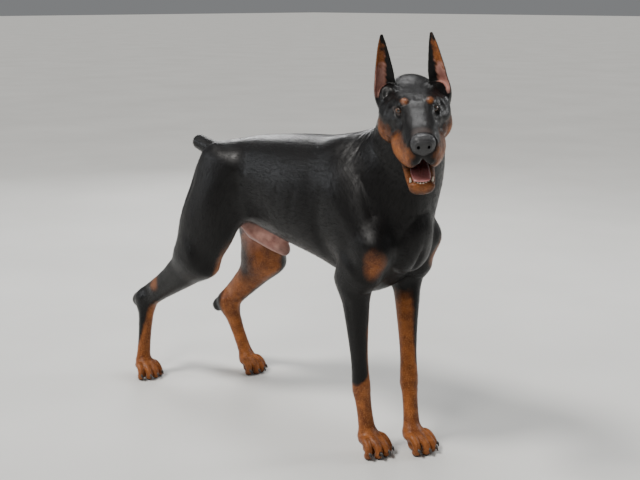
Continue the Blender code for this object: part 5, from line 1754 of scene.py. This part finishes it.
def make_camera():
    data = bpy.data.cameras.new("camera")
    data.lens, data.sensor_width = LENS, 36.0
    camera = bpy.data.objects.new("camera", data)
    azimuth, elevation = math.radians(CAMERA_AZIMUTH), math.radians(CAMERA_ELEVATION)
    look = Vector((-math.sin(azimuth) * math.cos(elevation), math.cos(azimuth) * math.cos(elevation),
                   -math.sin(elevation)))
    camera.location = Vector(CAMERA_PLACE) + ORIGIN_SHIFT
    camera.rotation_euler = look.to_track_quat("-Z", "Y").to_euler()
    bpy.context.scene.collection.objects.link(camera)
    bpy.context.scene.camera = camera


PAIRED = ("ear", "shoulder", "thigh", "front_leg", "hind_leg", "front_paw", "hind_paw")
FLESH = ("torso", "neck", "tail", "head", "lower_jaw",
         *(f"{part}_{word}" for part in PAIRED for word in ("left", "right")))


def colour_skin(skin):
    """Sets the marks of the markings and of the lie of the coat."""
    points = vectors(skin, "co")
    set_marks(skin, markings(points))
    lie = Lie(points)
    layer = skin.data.attributes.new("lie", "FLOAT_VECTOR", "POINT")
    rows = np.stack([lie.along, lie.angle * np.maximum(lie.radius, 0.02), lie.line * 0.37], axis=1)
    layer.data.foreach_set("vector", rows.astype(np.float32).ravel())
    set_marks(skin, {"fade": lie.fade})


def make_tongue():
    tongue = detailed("tongue_flesh", tongue_forms(), 0.0012)
    ahead = to_head(vectors(tongue, "co") - np.array(ORIGIN_SHIFT))[:, 0]
    # painted shade: darker towards the back of the tongue, where the mouth shades it
    set_marks(tongue, {"deep": np.clip((0.078 - ahead) / 0.040, 0, 1)})
    return tongue


def main():
    make_camera()
    skin = make_skin()
    colour_skin(skin)
    skin.data.shade_smooth()
    coat = make_coat(skin)
    fur = fur_material()
    for piece in coat:
        piece.data.transform(Matrix.Translation(ORIGIN_SHIFT))
        finish_piece(piece, fur, "black_coat")
    skin.data.transform(Matrix.Translation(ORIGIN_SHIFT))
    finish_piece(skin, skin_material(), "black_coat", *FLESH)
    eye_skin = eye_material()
    for word, s in SIDES.items():
        finish_piece(make_eye(word, s), eye_skin, "eye", f"eye_{word}")
    finish_piece(detailed("nose", nose_forms(), 0.0007), nose_material(), "nose_skin", "nose_pad")
    finish_piece(make_tongue(), tongue_material(), "tongue_flesh", "tongue")
    horn = horn_material("claw_horn", (0.012, 0.010, 0.010), (0.055, 0.045, 0.040))
    finish_piece(make_claws(), horn, "nose_skin")
    enamel = horn_material("tooth_enamel", (0.42, 0.37, 0.28), (0.58, 0.54, 0.45))
    finish_piece(make_teeth(), enamel, "rust_coat")
    make_floor()
    make_lights()


main()
